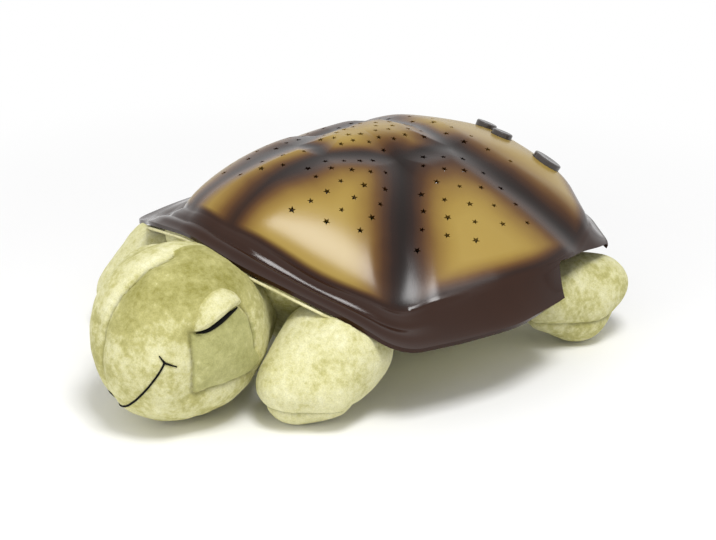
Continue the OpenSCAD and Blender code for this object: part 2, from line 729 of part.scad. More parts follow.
// A bowl that widens up to the bridges, with a chest under the brow and a rump under the tail edge.
// Each level gives its height as a share of the tray's, and its half width and half length as
// shares of the foot's half width
belly_levels = [[0.19, 1.42, 1.64], [0.57, 1.96, 2], [0.87, 2.14, 2.12]];
belly_mid_y = bay_y + 2;
chest_r = 13;
module belly_form(grow = 0) {
    hull() {
        slab_disc([0, bay_y, -grow - rest_flat], belly_foot + grow, belly_foot * 1.28 + grow, 1);
        for (v = belly_levels) slab_disc([0, belly_mid_y, v[0] * tray_z],
            v[1] * belly_foot + grow, v[2] * belly_foot + grow, 3);
        slab_disc([0, belly_mid_y, tray_z], belly_levels[2][1] * belly_foot + grow,
            belly_levels[2][2] * belly_foot + grow, 2 + grow);
        for (s = [-1, 1]) blob([s * brow_w * 0.55, 29 - brow_y, brow_z - 20], chest_r + grow, 12);
        blob([0, tail_y - 31, tail_z - 14], chest_r + grow, 12);
    }
}
head_facets = 24;
head_z = resting(head_r, head_facets);
jaw_r = head_r - 8;
module skull(grow = 0) { blob([head_x, -head_y, head_z], head_r + grow, head_facets); }
module head_form(grow = 0) {
    hull() {
        skull(grow);
        blob([head_x + 4, -head_y - 10, head_z - 6], jaw_r + grow, 22);
        blob([head_x - 12, -head_y + 34, head_z - 3], head_r - 15 + grow);
    }
}
module front_foot_form(side) {
    r = front_foot_r;
    toe = r - 3.5;
    root_x = shell_w / 2 - 53;
    root_y = -corner_y - 4;
    scale([side, 1, 1]) hull() {
        blob([root_x, root_y, r + 11], r);
        blob([root_x - 7, root_y - 29, resting(toe)], toe);
        blob([root_x + 6, root_y - 18, r - 3], r - 6);
        blob([root_x - 15, root_y - 7, r + 13], r - 4);
    }
}
module rear_foot_form(side) {
    r = rear_foot_r;
    toe = r - 2.5;
    root_x = shell_w / 2 - 43;
    root_y = arch_y + 26;
    scale([side, 1, 1]) hull() {
        blob([root_x, root_y, r + 7], r);
        blob([root_x + 7, root_y + 15, resting(toe)], toe);
        blob([root_x + 9, root_y + 30, r + 7], r - 5.5);
        blob([root_x - 22, root_y - 2, r + 9], r - 5);
    }
}
module tail_form() {
    hull() {
        blob([0, tail_y - 17, 26], 14, 16);
        blob([0, tail_y + tail_tip - 12, 14], 7, 16);
        blob([0, tail_y + tail_tip - 4, 10], 4, 12);
    }
}
// A puffy closed lid on the side of the head, longest towards the back of the head
lid_x = 39.5;
lid_y = -3.3;
lid_z = 25.2;
module eyelid_form(side) {
    translate([head_x, -head_y, head_z]) scale([side, 1, 1])
        translate([lid_x, lid_y, lid_z] * (head_r - 1) / 47)
            rotate([0, 0, atan2(lid_y, lid_x)]) rotate([0, -32, 0]) rotate([28, 0, 0])
                hull() scale([6, 14.5, 7.5]) sphere(r = 1, $fn = 20);
}

plush_tint = [0.75, 0.76, 0.47];
module plush() { color(plush_tint) children(); }
module under_shell() {
    difference() {
        children();
        shell_room();
        tray_room();
        under_table();
    }
}
module belly() { placed() plush() under_shell() belly_form(); }
module head() {
    placed() plush() difference() {
        under_shell() head_form();
        belly_form(gap);
    }
}
module eyelid(side) {
    placed() plush() difference() {
        eyelid_form(side);
        hull() skull(gap);
    }
}
module eyelid_left() { eyelid(1); }
module eyelid_right() { eyelid(-1); }
module front_foot(side) {
    placed() plush() difference() {
        under_shell() front_foot_form(side);
        belly_form(gap);
        skull(gap);
    }
}
module foot_front_left() { front_foot(1); }
module foot_front_right() { front_foot(-1); }
module rear_foot(side) {
    placed() plush() difference() {
        under_shell() rear_foot_form(side);
        belly_form(gap);
    }
}
module foot_rear_left() { rear_foot(1); }
module foot_rear_right() { rear_foot(-1); }
module tail() {
    placed() plush() difference() {
        under_shell() tail_form();
        belly_form(gap);
    }
}

shell();
base_tray();
shell_screws();
battery_door();
door_screws();
batteries();
battery_springs();
battery_contacts();
circuit_board();
board_screws();
chips();
led_amber();
led_green();
led_blue();
led_holder();
button_colour();
button_timer();
button_power();
small_button_guide();
power_button_guide();
small_button_board();
power_button_board();
button_switches();
guide_screws();
battery_leads();
button_leads();
belly();
head();
eyelid_left();
eyelid_right();
foot_front_left();
foot_front_right();
foot_rear_left();
foot_rear_right();
tail();
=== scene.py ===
# %% [markdown]
# # A plush turtle night light
# A stuffed velour turtle carries a hard, glossy, moulded shell. The shell is pierced by small
# stars, and lamps inside throw them onto the ceiling. The solids of the part come from CAD.
# Here each one gets its real surface: airbrushed and lacquered plastic, crushed velour sewn
# from panels, black stitching, printed boards, screws and cells.
# %% Set up
import json
import math

import bmesh
import bpy
import numpy as np
from mathutils import Matrix, Vector
from mathutils.bvhtree import BVHTree
from mathutils.kdtree import KDTree
from mathutils.noise import fractal


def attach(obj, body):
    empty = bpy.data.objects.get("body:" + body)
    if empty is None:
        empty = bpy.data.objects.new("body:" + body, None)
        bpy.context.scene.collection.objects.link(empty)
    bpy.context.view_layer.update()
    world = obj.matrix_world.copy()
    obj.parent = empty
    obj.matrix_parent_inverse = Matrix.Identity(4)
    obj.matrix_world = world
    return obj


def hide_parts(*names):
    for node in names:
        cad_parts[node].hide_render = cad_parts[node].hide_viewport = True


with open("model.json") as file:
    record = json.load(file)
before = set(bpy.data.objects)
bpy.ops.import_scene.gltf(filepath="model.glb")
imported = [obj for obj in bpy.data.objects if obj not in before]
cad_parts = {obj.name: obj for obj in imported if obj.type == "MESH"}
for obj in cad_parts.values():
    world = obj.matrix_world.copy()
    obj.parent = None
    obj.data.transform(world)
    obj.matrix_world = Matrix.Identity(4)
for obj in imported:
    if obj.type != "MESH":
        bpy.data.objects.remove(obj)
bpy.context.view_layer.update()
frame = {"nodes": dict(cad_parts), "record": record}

# %% [markdown]
# ## Sizes
# The model is in metres, but a maker thinks in millimetres, so the outlines are written in
# millimetres, measured from the middle of the shell, as in the CAD source. SHIFT moves them
# to the origin of the whole object.
# %% Sizes and helpers
MM = 0.001
SHIFT = 24.3697
ROOT = "turtle"


def place(points):
    """Millimetres from the shell's middle to metres in the object's frame."""
    return (np.asarray(points, float) + (0, SHIFT, 0)) * MM


def local(points):
    return np.asarray(points, float) / MM - (0, SHIFT, 0)


def coords(mesh):
    out = np.empty(len(mesh.vertices) * 3)
    mesh.vertices.foreach_get("co", out)
    return out.reshape(-1, 3)


def normals_of(mesh):
    out = np.empty(len(mesh.vertices) * 3)
    mesh.vertices.foreach_get("normal", out)
    return out.reshape(-1, 3)


def set_coords(mesh, points):
    mesh.vertices.foreach_set("co", np.asarray(points, float).ravel())
    mesh.update()


def heading(azimuth, elevation):
    """Unit vector; azimuth 0 looks to the turtle's front and 90 to its left."""
    a, e = math.radians(azimuth), math.radians(elevation)
    return Vector((math.sin(a) * math.cos(e), -math.cos(a) * math.cos(e), math.sin(e)))


def new_piece(name, bm, recalc=True):
    """Turns a bmesh into an object that rides on the turtle."""
    if recalc:
        bmesh.ops.recalc_face_normals(bm, faces=bm.faces)
    mesh = bpy.data.meshes.new(name)
    bm.to_mesh(mesh)
    bm.free()
    piece = bpy.data.objects.new(name, mesh)
    bpy.context.collection.objects.link(piece)
    return piece


def bake_modifiers(piece):
    """Applies all modifiers of a piece to its mesh."""
    graph = bpy.context.evaluated_depsgraph_get()
    graph.update()
    mesh = bpy.data.meshes.new_from_object(piece.evaluated_get(graph))
    piece.modifiers.clear()
    old = piece.data
    piece.data = mesh
    bpy.data.meshes.remove(old)
    return piece


def store(mesh, name, values):
    layer = mesh.attributes.new(name, "FLOAT", "POINT")
    layer.data.foreach_set("value", np.asarray(values, np.float32))


def smooth_shade(piece, sharp=None):
    piece.data.shade_smooth()
    if sharp is not None:
        piece.data.set_sharp_from_angle(angle=math.radians(sharp))


# %% [markdown]
# ## The shell's surface
# The shell is one moulding: a dome of seven soft pillows, called scutes, and a flared skirt.
# Two outlines hold it: the rim, and the crease above it. Between them and the crest the height
# follows one formula, with grooves sunk between the scutes. One formula keeps every ring of
# the mesh fair, which a lacquered surface needs, because its reflections show each dent.
# %% Outlines of the shell
RIM = np.array([(0, -124, 86), (42, -122, 80.5), (98, -86, 55), (125, -79, 46), (134, -45, 46),
                (139, -8, 46), (131, 36, 46), (124, 64, 50), (113, 93, 57), (69.5, 121, 57),
                (0, 135, 58)], float)
CREASE = np.array([(0, -113, 95), (25, -107, 91), (65, -85, 69), (97, -62, 56.5), (106, -46, 58),
                   (124, 4, 66.5), (127, 25, 67.5), (122, 48, 68.5), (103, 86, 70),
                   (63.5, 112, 70), (0, 126, 70)], float)
CREST = 119
WALL = 2.4
GROOVES = [((19, -112), (13, -75)), ((13, -75), (12, -38)), ((12, -38), (0, -34)),
           ((12, -38), (30, 4)), ((30, 4), (68, -29)), ((68, -29), (101, -56)),
           ((30, 4), (31, 40)), ((31, 40), (0, 44)), ((31, 40), (88, 55)), ((88, 55), (122, 62))]
GROOVE_W = 18
GROOVE_DEPTH = 3.4


def outline(knots, angle):
    """Points of an outline at plan angles in degrees; the turtle's right mirrors its left."""
    turn = (np.asarray(angle, float) + 450) % 360 - 90
    far = turn > 90
    turn = np.where(far, 180 - turn, turn)
    knot_angle = np.degrees(np.arctan2(knots[:, 1], knots[:, 0]))
    i = np.clip(np.searchsorted(knot_angle, turn + 1e-6, side="right") - 1, 0, len(knots) - 2)
    p, q = knots[i], knots[i + 1]
    s, c = np.sin(np.radians(turn)), np.cos(np.radians(turn))
    cross_p, cross_q = p[:, 0] * s - p[:, 1] * c, q[:, 0] * s - q[:, 1] * c
    out = p + (q - p) * (cross_p / (cross_p - cross_q))[:, None]
    out[:, 0] *= np.where(far, -1, 1)
    return out


def soft_outline(knots, angle):
    return sum(outline(knots, angle + k) for k in (-4, -2, 0, 2, 4)) / 5


def groove_distance(x, y, grooves=GROOVES):
    """Plan distance to the nearest groove, in millimetres."""
    p = np.stack([np.abs(x), y], -1)
    best = np.full(len(p), 1e9)
    for a, b in grooves:
        a, b = np.array(a, float), np.array(b, float)
        t = np.clip(((p - a) @ (b - a)) / ((b - a) @ (b - a)), 0, 1)
        best = np.minimum(best, np.linalg.norm(p - a - t[:, None] * (b - a), axis=1))
    return best


# %% Height of the dome and the skirt
def dome_height(reach, angle, low):
    front = np.maximum(0, -np.sin(np.radians(angle)))
    rear = np.maximum(0, np.sin(np.radians(angle)))
    swell = 1.2 + 1.4 * front ** 1.5 + 0.16 * rear
    shoulder = 1.05 + 0.28 * front ** 4 + 1.5 * rear ** 3
    eased = (np.sqrt(reach * reach + 0.0036) - 0.06) / 0.9418
    return low + (CREST - low) * np.maximum(0, 1 - eased ** swell) ** (1 / shoulder)


def on_shell(reach, angle):
    """Points of the outer surface: reach 0 is the crest, 1 the crease and 2 the rim."""
    reach, angle = np.broadcast_arrays(np.asarray(reach, float), np.asarray(angle, float))
    inner, outer = soft_outline(CREASE, angle), soft_outline(RIM, angle)
    u, k = np.minimum(reach, 1), np.clip(reach - 1, 0, 1)
    dome = np.stack([inner[:, 0] * u, inner[:, 1] * u, dome_height(u, angle, inner[:, 2])], -1)
    sunk = np.maximum(0, 1 - (groove_distance(dome[:, 0], dome[:, 1]) / GROOVE_W) ** 2) ** 2
    sunk = GROOVE_DEPTH * sunk * (1 - k) ** 2 * np.interp(dome[:, 1], (-110, -40), (0.35, 1))
    dome[:, 2] -= sunk
    skirt = inner + (outer - inner) * k[:, None]
    skirt[:, 2] = inner[:, 2] + (outer[:, 2] - inner[:, 2]) * (1 - (1 - k) ** 1.4)
    skirt[:, 2] -= sunk
    return np.where((reach <= 1)[:, None], dome, skirt)


def shell_normal(reach, angle):
    near = np.clip(np.asarray(reach, float), 0.02, 1.98)
    a = on_shell(near + 0.02, angle) - on_shell(near - 0.02, angle)
    b = on_shell(near, np.asarray(angle) + 1) - on_shell(near, np.asarray(angle) - 1)
    n = np.cross(a, b)
    return n / np.linalg.norm(n, axis=1)[:, None]


def plan_reach(x, y):
    edge = soft_outline(CREASE, np.degrees(np.arctan2(y, x)))
    return np.hypot(x, y) / np.hypot(edge[:, 0], edge[:, 1])


print("crest", on_shell([0.0], [0.0]).round(1), "brow", on_shell([2.0], [-90.0]).round(1))

# %% [markdown]
# ## Moulding the shell
# A circle is extruded ring by ring, and each ring is carried onto the formula. Fine lines that
# the mould leaves, along the crease and twice round the flared front lip, are sunk in the same
# step. A Solidify modifier gives the wall its 2.4 mm.
# %% Shell sheet
SEGMENTS = 360
REACHES = np.concatenate([np.linspace(0.012, 1, 80), np.linspace(1, 2, 20)[1:]])


def fine_lines(reach, angle, points):
    """Depth in millimetres of the crisp lines in the moulding."""
    deep = 0.6 * np.exp(-((reach - 1.02) / 0.045) ** 2)
    front = np.clip((-points[:, 1] - 48) / 22, 0, 1)
    deep += 1.0 * front * np.exp(-((reach - 1.42) / 0.08) ** 2)
    deep -= 0.5 * front * np.exp(-((reach - 1.66) / 0.1) ** 2)
    return deep


def shell_sheet():
    bm = bmesh.new()
    bmesh.ops.create_circle(bm, cap_ends=False, radius=REACHES[0], segments=SEGMENTS)
    ring = list(bm.edges)
    for near, far in zip(REACHES[:-1], REACHES[1:]):
        grown = bmesh.ops.extrude_edge_only(bm, edges=ring)["geom"]
        verts = [g for g in grown if isinstance(g, bmesh.types.BMVert)]
        fresh = set(verts)
        ring = [g for g in grown if isinstance(g, bmesh.types.BMEdge)
                and g.verts[0] in fresh and g.verts[1] in fresh]
        bmesh.ops.scale(bm, vec=(far / near, far / near, 1), verts=verts)
    middle = [e for e in bm.edges if e.is_boundary and e.verts[0].co.length < REACHES[0] * 1.5]
    bmesh.ops.pointmerge(bm, verts=list({v for e in middle for v in e.verts}), merge_co=(0, 0, 0))
    flat = np.array([v.co for v in bm.verts])
    reach = np.hypot(flat[:, 0], flat[:, 1])
    angle = np.degrees(np.arctan2(flat[:, 1], flat[:, 0]))
    points = on_shell(reach, angle)
    points -= shell_normal(reach, angle) * fine_lines(reach, angle, points)[:, None]
    for v, p in zip(bm.verts, place(points)):
        v.co = p
    return bm


bm = shell_sheet()
for f in bm.faces:
    f.normal_update()
if sum(f.normal.z for f in bm.faces) < 0:
    bmesh.ops.reverse_faces(bm, faces=bm.faces)
shell = new_piece("star_shell", bm, recalc=False)
wall = shell.modifiers.new("wall", "SOLIDIFY")
wall.thickness = WALL * MM
wall.offset = -1
bake_modifiers(shell)
print("shell sheet", len(shell.data.polygons), "faces")

# %% [markdown]
# ## Stars, button holes and leg arches
# The stars are real holes. They lie on a sunflower spiral, which spreads points evenly without
# rows, and crowd together towards the crest, as on the real shell. Four are left out, because
# one would look right through the shell there and out under its rim. Each star is a ten-sided
# plate pushed through the wall. All cutters are joined and taken away in one Boolean.
# %% Frames on the surface
def surface_frame(x, y):
    """Matrix whose z axis is the shell's normal over a plan point."""
    x, y = np.array([float(x)]), np.array([float(y)])
    reach, angle = plan_reach(x, y), np.degrees(np.arctan2(y, x))
    p, n = on_shell(reach, angle)[0], Vector(shell_normal(reach, angle)[0])
    turn = Matrix.Rotation(-math.atan2(n.x, n.y), 4, "Z") @ Matrix.Rotation(-math.acos(n.z), 4, "X")
    return Matrix.Translation(place(p)) @ turn


SMALL_AT, POWER_AT = (10, 97), (52, 100)
BUTTON_HOLES = [(SMALL_AT, -10, 6.9), (SMALL_AT, 10, 6.9), (POWER_AT, 0, 9.4)]

# %% Cutters
STARS = 230
GOLDEN_ANGLE = 137.508
PEEPHOLES = (73, 172, 206, 219)
STAR_TO_GROOVE, STAR_TO_POST = 5.2, 8.5
SCREW_POSTS = ((75, -47), (75, 63))


def star_places():
    k = np.arange(STARS)
    angle = k * GOLDEN_ANGLE + 40
    reach = 0.05 + 0.78 * ((k + 0.5) / STARS) ** 0.72
    p = on_shell(reach, angle)
    clear = (groove_distance(p[:, 0], p[:, 1]) > STAR_TO_GROOVE) & ~np.isin(k, PEEPHOLES)
    for x, y in SCREW_POSTS:
        clear &= np.hypot(np.abs(p[:, 0]) - x, p[:, 1] - y) > STAR_TO_POST
    controls = (p[:, 1] > 66) & (p[:, 0] > -23) & (p[:, 0] < 73)
    return p[clear & ~controls], k[clear & ~controls]


def add_star(bm, where, spin, size):
    made = bmesh.ops.create_circle(bm, cap_ends=True, radius=size / 2 * MM, segments=10)["verts"]
    bmesh.ops.scale(bm, vec=(0.45, 0.45, 1), verts=made[::2])
    face = made[0].link_faces[0]
    out = bmesh.ops.extrude_face_region(bm, geom=[face])["geom"]
    top = [g for g in out if isinstance(g, bmesh.types.BMVert)]
    bmesh.ops.translate(bm, vec=(0, 0, 7 * MM), verts=top)
    both = made + top
    bmesh.ops.translate(bm, vec=(0, 0, -5 * MM), verts=both)
    turned = surface_frame(*where) @ Matrix.Rotation(math.radians(spin), 4, "Z")
    bmesh.ops.transform(bm, matrix=turned, verts=both)


def add_pin(bm, matrix, radius, low, high, segments=48):
    """A closed cylinder between two heights of a frame."""
    at = matrix @ Matrix.Translation((0, 0, (low + high) / 2 * MM))
    return bmesh.ops.create_cone(bm, cap_ends=True, segments=segments, radius1=radius * MM,
                                 radius2=radius * MM, depth=(high - low) * MM, matrix=at)["verts"]


bm = bmesh.new()
places, turns = star_places()
for p, k in zip(places, turns):
    add_star(bm, p[:2], k * 25, 3.6 + 1.2 * ((k * 7) % 5) / 4)
for where, across, radius in BUTTON_HOLES:
    add_pin(bm, surface_frame(*where) @ Matrix.Translation((across * MM, 0, 0)), radius, -8, 6, 64)
for side in (-1, 1):
    corners = [(36, 0), (36, 64), (38, 66), (93, 57), (93, 0)]
    ends = [bm.verts.new(place((side * 79, y, z))) for y, z in corners]
    face = bm.faces.new(ends)
    out = bmesh.ops.extrude_face_region(bm, geom=[face])["geom"]
    bmesh.ops.translate(bm, vec=(side * 80 * MM, 0, 0),
                        verts=[g for g in out if isinstance(g, bmesh.types.BMVert)])
cutter = new_piece("cutter", bm)
print("stars", len(places))

# %% Cut the shell
SMALL_ISLAND = 12
MERGE = 5e-6


def drop_slivers(bm):
    """Deletes the tiny loose islands that cutting leaves behind."""
    unseen, loose = set(bm.faces), []
    while unseen:
        island = [unseen.pop()]
        for face in island:
            near = {f for e in face.edges for f in e.link_faces} & unseen
            unseen -= near
            island += near
        if len(island) < SMALL_ISLAND:
            loose += island
    bmesh.ops.delete(bm, geom=loose, context="FACES")
    return len(loose)


cut = shell.modifiers.new("holes", "BOOLEAN")
cut.object = cutter
cut.operation = "DIFFERENCE"
cut.solver = "MANIFOLD"
bake_modifiers(shell)
bpy.data.objects.remove(cutter)
bm = bmesh.new()
bm.from_mesh(shell.data)
bmesh.ops.triangulate(bm, faces=[f for f in bm.faces if len(f.verts) > 4])
bmesh.ops.remove_doubles(bm, verts=bm.verts, dist=MERGE)
bmesh.ops.dissolve_degenerate(bm, edges=bm.edges, dist=MERGE)
slivers = drop_slivers(bm)
bm.to_mesh(shell.data)
open_edges = sum(1 for e in bm.edges if not e.is_manifold)
bm.free()
smooth_shade(shell, 34)
print("shell", len(shell.data.polygons), "faces,", slivers, "slivers,", open_edges, "open edges")

# %% Posts under the shell
SLEEVE_TOP = -WALL - 2.8 - 1.2 - 1.2 - 0.3
POST_END = SLEEVE_TOP - 5 + 2 + 0.02


def tuck(ring):
    """Brings the top of a pin to 1.6 mm below the outer surface, all round."""
    middle = sum(v.co.z for v in ring) / len(ring)
    for v in [v for v in ring if v.co.z > middle]:
        at = local([v.co])
        out = on_shell(plan_reach(at[:, 0], at[:, 1]), np.degrees(np.arctan2(at[:, 1], at[:, 0])))
        v.co.z = (out[0][2] - 1.6) * MM


bm = bmesh.new()
for x, y in [(side * x, y) for side in (-1, 1) for x, y in SCREW_POSTS]:
    tuck(add_pin(bm, Matrix.Translation(place((x, y, 0))), 4.5, 50, 60, 32))
for where, span, turn in ((SMALL_AT, 43.2, 0), (POWER_AT, 28.2, 90)):
    for s in (-1, 1):
        at = surface_frame(*where) @ Matrix.Rotation(math.radians(turn), 4, "Z")
        tuck(add_pin(bm, at @ Matrix.Translation((s * span / 2 * MM, 0, 0)), 3, POST_END, -2, 24))
posts = new_piece("shell_posts", bm)
smooth_shade(posts, 30)

# %% [markdown]
# ## Reading the paint from the shape
# The airbrushed colour follows the moulding: near black in the grooves, gold in the middle of
# each scute, and brown on the skirt. So the mesh carries two numbers for the paint. The first,
# shade, grows from the grooves and the crease into a scute, faster where the gold comes close
# to them. The second is how far a point lies inside the crease.
# %% Paint attributes
SPINE = [GROOVES[i] for i in (0, 1, 3, 6)]
CROSS = [GROOVES[i] for i in (2, 7)]
FLANK = [GROOVES[i] for i in (4, 5, 8, 9)]


def soft_min(a, b, k):
    h = np.clip(0.5 + 0.5 * (b - a) / k, 0, 1)
    return b + (a - b) * h - k * h * (1 - h)


def paint_attributes(piece):
    p = local(coords(piece.data))
    x, y = p[:, 0], p[:, 1]
    crease = soft_outline(CREASE, np.degrees(np.arctan2(y, x)))
    inside = np.hypot(crease[:, 0], crease[:, 1]) - np.hypot(x, y)
    spine, cross = (groove_distance(x, y, g) for g in (SPINE, CROSS))
    middle = (np.abs(x) < np.interp(y, (-112, -75, -38, 4, 40), (19, 13, 12, 30, 31))) & (y < 42)
    rear = ~middle & (y > np.interp(np.abs(x), (0, 31, 88, 122), (44, 40, 55, 62)))
    mid_rate = np.interp(y, (-85, -40), (1.05, 2.2))
    side_rate = np.interp(y, (-95, -60, -30, 0), (1.3, 0.85, 0.8, 0.55))
    top = np.where(middle, mid_rate * spine, np.where(rear, 0.9, side_rate) * spine)
    top += 5.0 * np.clip((-y - 60) / 30, 0, 1)
    front, back = (groove_distance(x, y, g) for g in (FLANK[:2], FLANK[2:]))
    side = np.minimum(1.0 * front - 1.5, np.where(rear, 0.85, 0.7) * back)
    shade = soft_min(soft_min(top, side, 6.0), 2.0 * cross, 4.0)
    steep = 2.2 + 7.0 * np.clip((-y - 52) / 24, 0, 1)
    store(piece.data, "shade", np.clip(soft_min(shade, steep * inside, 5.0), -5, 60))
    store(piece.data, "crease", np.clip(inside, -40, 80))


paint_attributes(shell)
paint_attributes(posts)

# %% [markdown]
# ## Stuffed pieces
# Head, feet, belly and tail are velour bags packed with fibre. Each starts as the hull of a few
# balls, slightly slimmer than the CAD solid, is remeshed evenly, and is then blown up by
# Blender's cloth simulation. Seam lines are pinned, so the panels swell between them, as sewn
# panels do. The shell presses the plush down, so no point may rise above its underside. Then
# the mesh is refined, crumpled a little and drawn in along the seams.
# %% Room under the shell
def roof(p):
    """Highest allowed z in millimetres, under the shell's rim and inside it."""
    angle = np.degrees(np.arctan2(p[:, 1], p[:, 0]))
    edge = on_shell(np.full(len(p), 2.0), angle)
    inner = edge - WALL * shell_normal(np.full(len(p), 2.0), angle)
    low = np.minimum(edge[:, 2], inner[:, 2]) - 0.5
    reach = np.hypot(p[:, 0], p[:, 1])
    rim = np.hypot(edge[:, 0], edge[:, 1]) + 1.2
    under = 47.0 + (low - 47.0) * np.minimum(reach / rim, 1)
    return np.where(reach > rim, low + 1.6 * (reach - rim), under)


def settle(p):
    """Keeps plush under the shell and on the table."""
    p = p.copy()
    p[:, 2] = np.minimum(p[:, 2], roof(p))
    p[:, 2] = np.maximum(p[:, 2], 0.15)
    return p


def hull_piece(name, bm):
    """Wraps all points of a bmesh in their convex hull."""
    hull = bmesh.ops.convex_hull(bm, input=bm.verts, use_existing_faces=False)
    loose = {g for g in hull["geom_interior"] + hull["geom_unused"]
             if isinstance(g, bmesh.types.BMVert)}
    bmesh.ops.delete(bm, geom=list(loose), context="VERTS")
    return new_piece(name, bm)


def ball_hull(name, balls, side=1):
    """Hull of balls given as (x, y, z, radius) in millimetres."""
    bm = bmesh.new()
    for x, y, z, r in balls:
        at = Matrix.Translation(place((x * side, y, z)))
        bmesh.ops.create_icosphere(bm, subdivisions=4, radius=r * MM, matrix=at)
    return hull_piece(name, bm)


def remesh(piece, size):
    even = piece.modifiers.new("even", "REMESH")
    even.mode = "VOXEL"
    even.voxel_size = size * MM
    bake_modifiers(piece)
    set_coords(piece.data, place(settle(local(coords(piece.data)))))


# %% Rough bags
HEAD_AT = (28, -150, 46.1)
BAGS = {
    "plush_head": [(28, -150, 46.1, 45.6), (32, -160, 40, 37.8), (16, -116, 43, 31)],
    "plush_foot_front": [(86, -83, 36, 23.8), (79, -112, 20.7, 20.5),
                         (92, -101, 22, 17.8), (71, -90, 38, 19.8)],
    "plush_foot_rear": [(96, 62, 31, 22.8), (103, 77, 20.7, 20.5),
                        (105, 92, 31, 17.3), (74, 60, 33, 18)],
    "plush_tail": [(0, 118, 26, 13), (0, 138, 14, 6.4), (0, 146, 10, 3.6)],
}
bags = {}
for name, balls in BAGS.items():
    if "foot" in name:
        bags[name + "_left"] = ball_hull(name + "_left", balls)
        bags[name + "_right"] = ball_hull(name + "_right", balls, -1)
    else:
        bags[name] = ball_hull(name, balls)
for name, bag in bags.items():
    remesh(bag, 2.5 if name == "plush_tail" else 4)
print({n: len(b.data.vertices) for n, b in bags.items()})

# %% Seam lines
def smooth_path(points, steps=12):
    """Catmull-Rom curve through points of any dimension."""
    p = [np.array(q, float) for q in points]
    p = [2 * p[0] - p[1]] + p + [2 * p[-1] - p[-2]]
    out = []
    for i in range(1, len(p) - 2):
        a, b, c, d = p[i - 1:i + 3]
        for t in np.linspace(0, 1, steps, endpoint=False):
            out.append(0.5 * (2 * b + (c - a) * t + (2 * a - 5 * b + 4 * c - d) * t ** 2
                              + (3 * b - 3 * c + d - a) * t ** 3))
    out.append(p[-2])
    return np.array(out)


def surface_path(pieces, origin, headings, steps=12):
    """A curve on the outermost of some pieces, through headings seen from inside."""
    graph = bpy.context.evaluated_depsgraph_get()
    trees = [BVHTree.FromObject(piece, graph) for piece in pieces]
    spots = []
    for azimuth, elevation in smooth_path(headings, steps):
        hits = [tree.ray_cast(Vector(place(origin)), heading(azimuth, elevation)) for tree in trees]
        hits = [h for h in hits if h[0] is not None]
        if hits:
            spots.append(max(hits, key=lambda h: h[3])[:2])
    return spots


def distance_to(points, spots):
    tree = KDTree(len(spots))
    for i, s in enumerate(spots):
        tree.insert(s, i)
    tree.balance()
    return np.array([tree.find(p)[2] for p in points]) / MM


HEAD_SEAMS = {
    "crown": [(40, 85), (10, 67), (3.6, 51), (-1, 40), (-3, 20), (-4, 2), (-5, -18), (-5, -36)],
    "cheek": [(63.6, 21), (64, 11), (64.6, -2), (64.6, -23), (79, -22), (95, -22), (120, -24)],
    "far_cheek": [(-71.6, 21), (-72, 11), (-72.6, -2), (-72.6, -23),
                  (-87, -22), (-103, -22), (-128, -24)],
    "brow_line": [(63.6, 21), (69, 21.5)],
    "lid_tail": [(112, 31), (116, 22), (117, 10), (119, -4)],
}
FACE_TURN = -4


def mirror_heading(azimuth, elevation):
    return 2 * FACE_TURN - azimuth, elevation


FOOT_SEAM_Z = {"plush_foot_front": 11, "plush_foot_rear": 17}

# %% Blow the bags up
def head_seam(line):
    return [spot[0] for spot in surface_path([bags["plush_head"]], HEAD_AT, HEAD_SEAMS[line], 16)]


def seam_spots(name, bag):
    if name == "plush_head":
        return [spot for line in HEAD_SEAMS for spot in head_seam(line)]
    if "foot" in name:
        foot, end = name.rsplit("_", 1)
        balls, z, side = BAGS[foot], FOOT_SEAM_Z[foot], -1 if end == "right" else 1
        x = balls[1][0] * side * 0.5 + balls[0][0] * side * 0.5
        y = balls[1][1] * 0.5 + balls[0][1] * 0.5
        tree = BVHTree.FromObject(bag, bpy.context.evaluated_depsgraph_get())
        hits = [tree.ray_cast(Vector(place((x, y, z))), heading(a, 0))[0] for a in range(0, 360, 2)]
        return [h for h in hits if h is not None]
    return []


seams = {name: seam_spots(name, bag) for name, bag in bags.items()}
seams["crown"] = head_seam("crown")


def stuff(bags, pressure, cap):
    """Cloth simulation of all bags at once; no point moves further than cap millimetres."""
    starts = {}
    for name, bag in bags.items():
        starts[name] = coords(bag.data)
        if seams[name]:
            group = bag.vertex_groups.new(name="pinned")
            gap = distance_to(starts[name], seams[name])
            for i in np.nonzero(gap < 5)[0]:
                group.add([int(i)], float(max(0.0, 1 - gap[i] / 5)), "REPLACE")
        cloth = bag.modifiers.new("stuffing", "CLOTH").settings
        cloth.quality = 5
        cloth.mass = 0.25
        cloth.use_pressure = True
        cloth.uniform_pressure_force = pressure
        cloth.effector_weights.gravity = 0
        cloth.tension_stiffness = 10
        cloth.compression_stiffness = 10
        cloth.bending_stiffness = 0.3
        cloth.shrink_min = -0.03
        if seams[name]:
            cloth.vertex_group_mass = "pinned"
    for f in range(1, 21):
        bpy.context.scene.frame_set(f)
    graph = bpy.context.evaluated_depsgraph_get()
    for name, bag in bags.items():
        moved = coords(bag.evaluated_get(graph).data) - starts[name]
        length = np.linalg.norm(moved, axis=1, keepdims=True) / MM
        moved *= np.minimum(1, cap / np.maximum(length, 1e-6))
        bag.modifiers.clear()
        bag.vertex_groups.clear()
        set_coords(bag.data, place(settle(local(starts[name] + moved))))
        print(name, "moved", length.mean().round(2), "mm, at most", length.max().round(2))
    bpy.context.scene.frame_set(1)


stuff(bags, 4, 2.2)

# %% Fine mesh and sewn seams
def refine(bag, levels=2):
    fine = bag.modifiers.new("fine", "SUBSURF")
    fine.levels = fine.render_levels = levels
    bake_modifiers(bag)


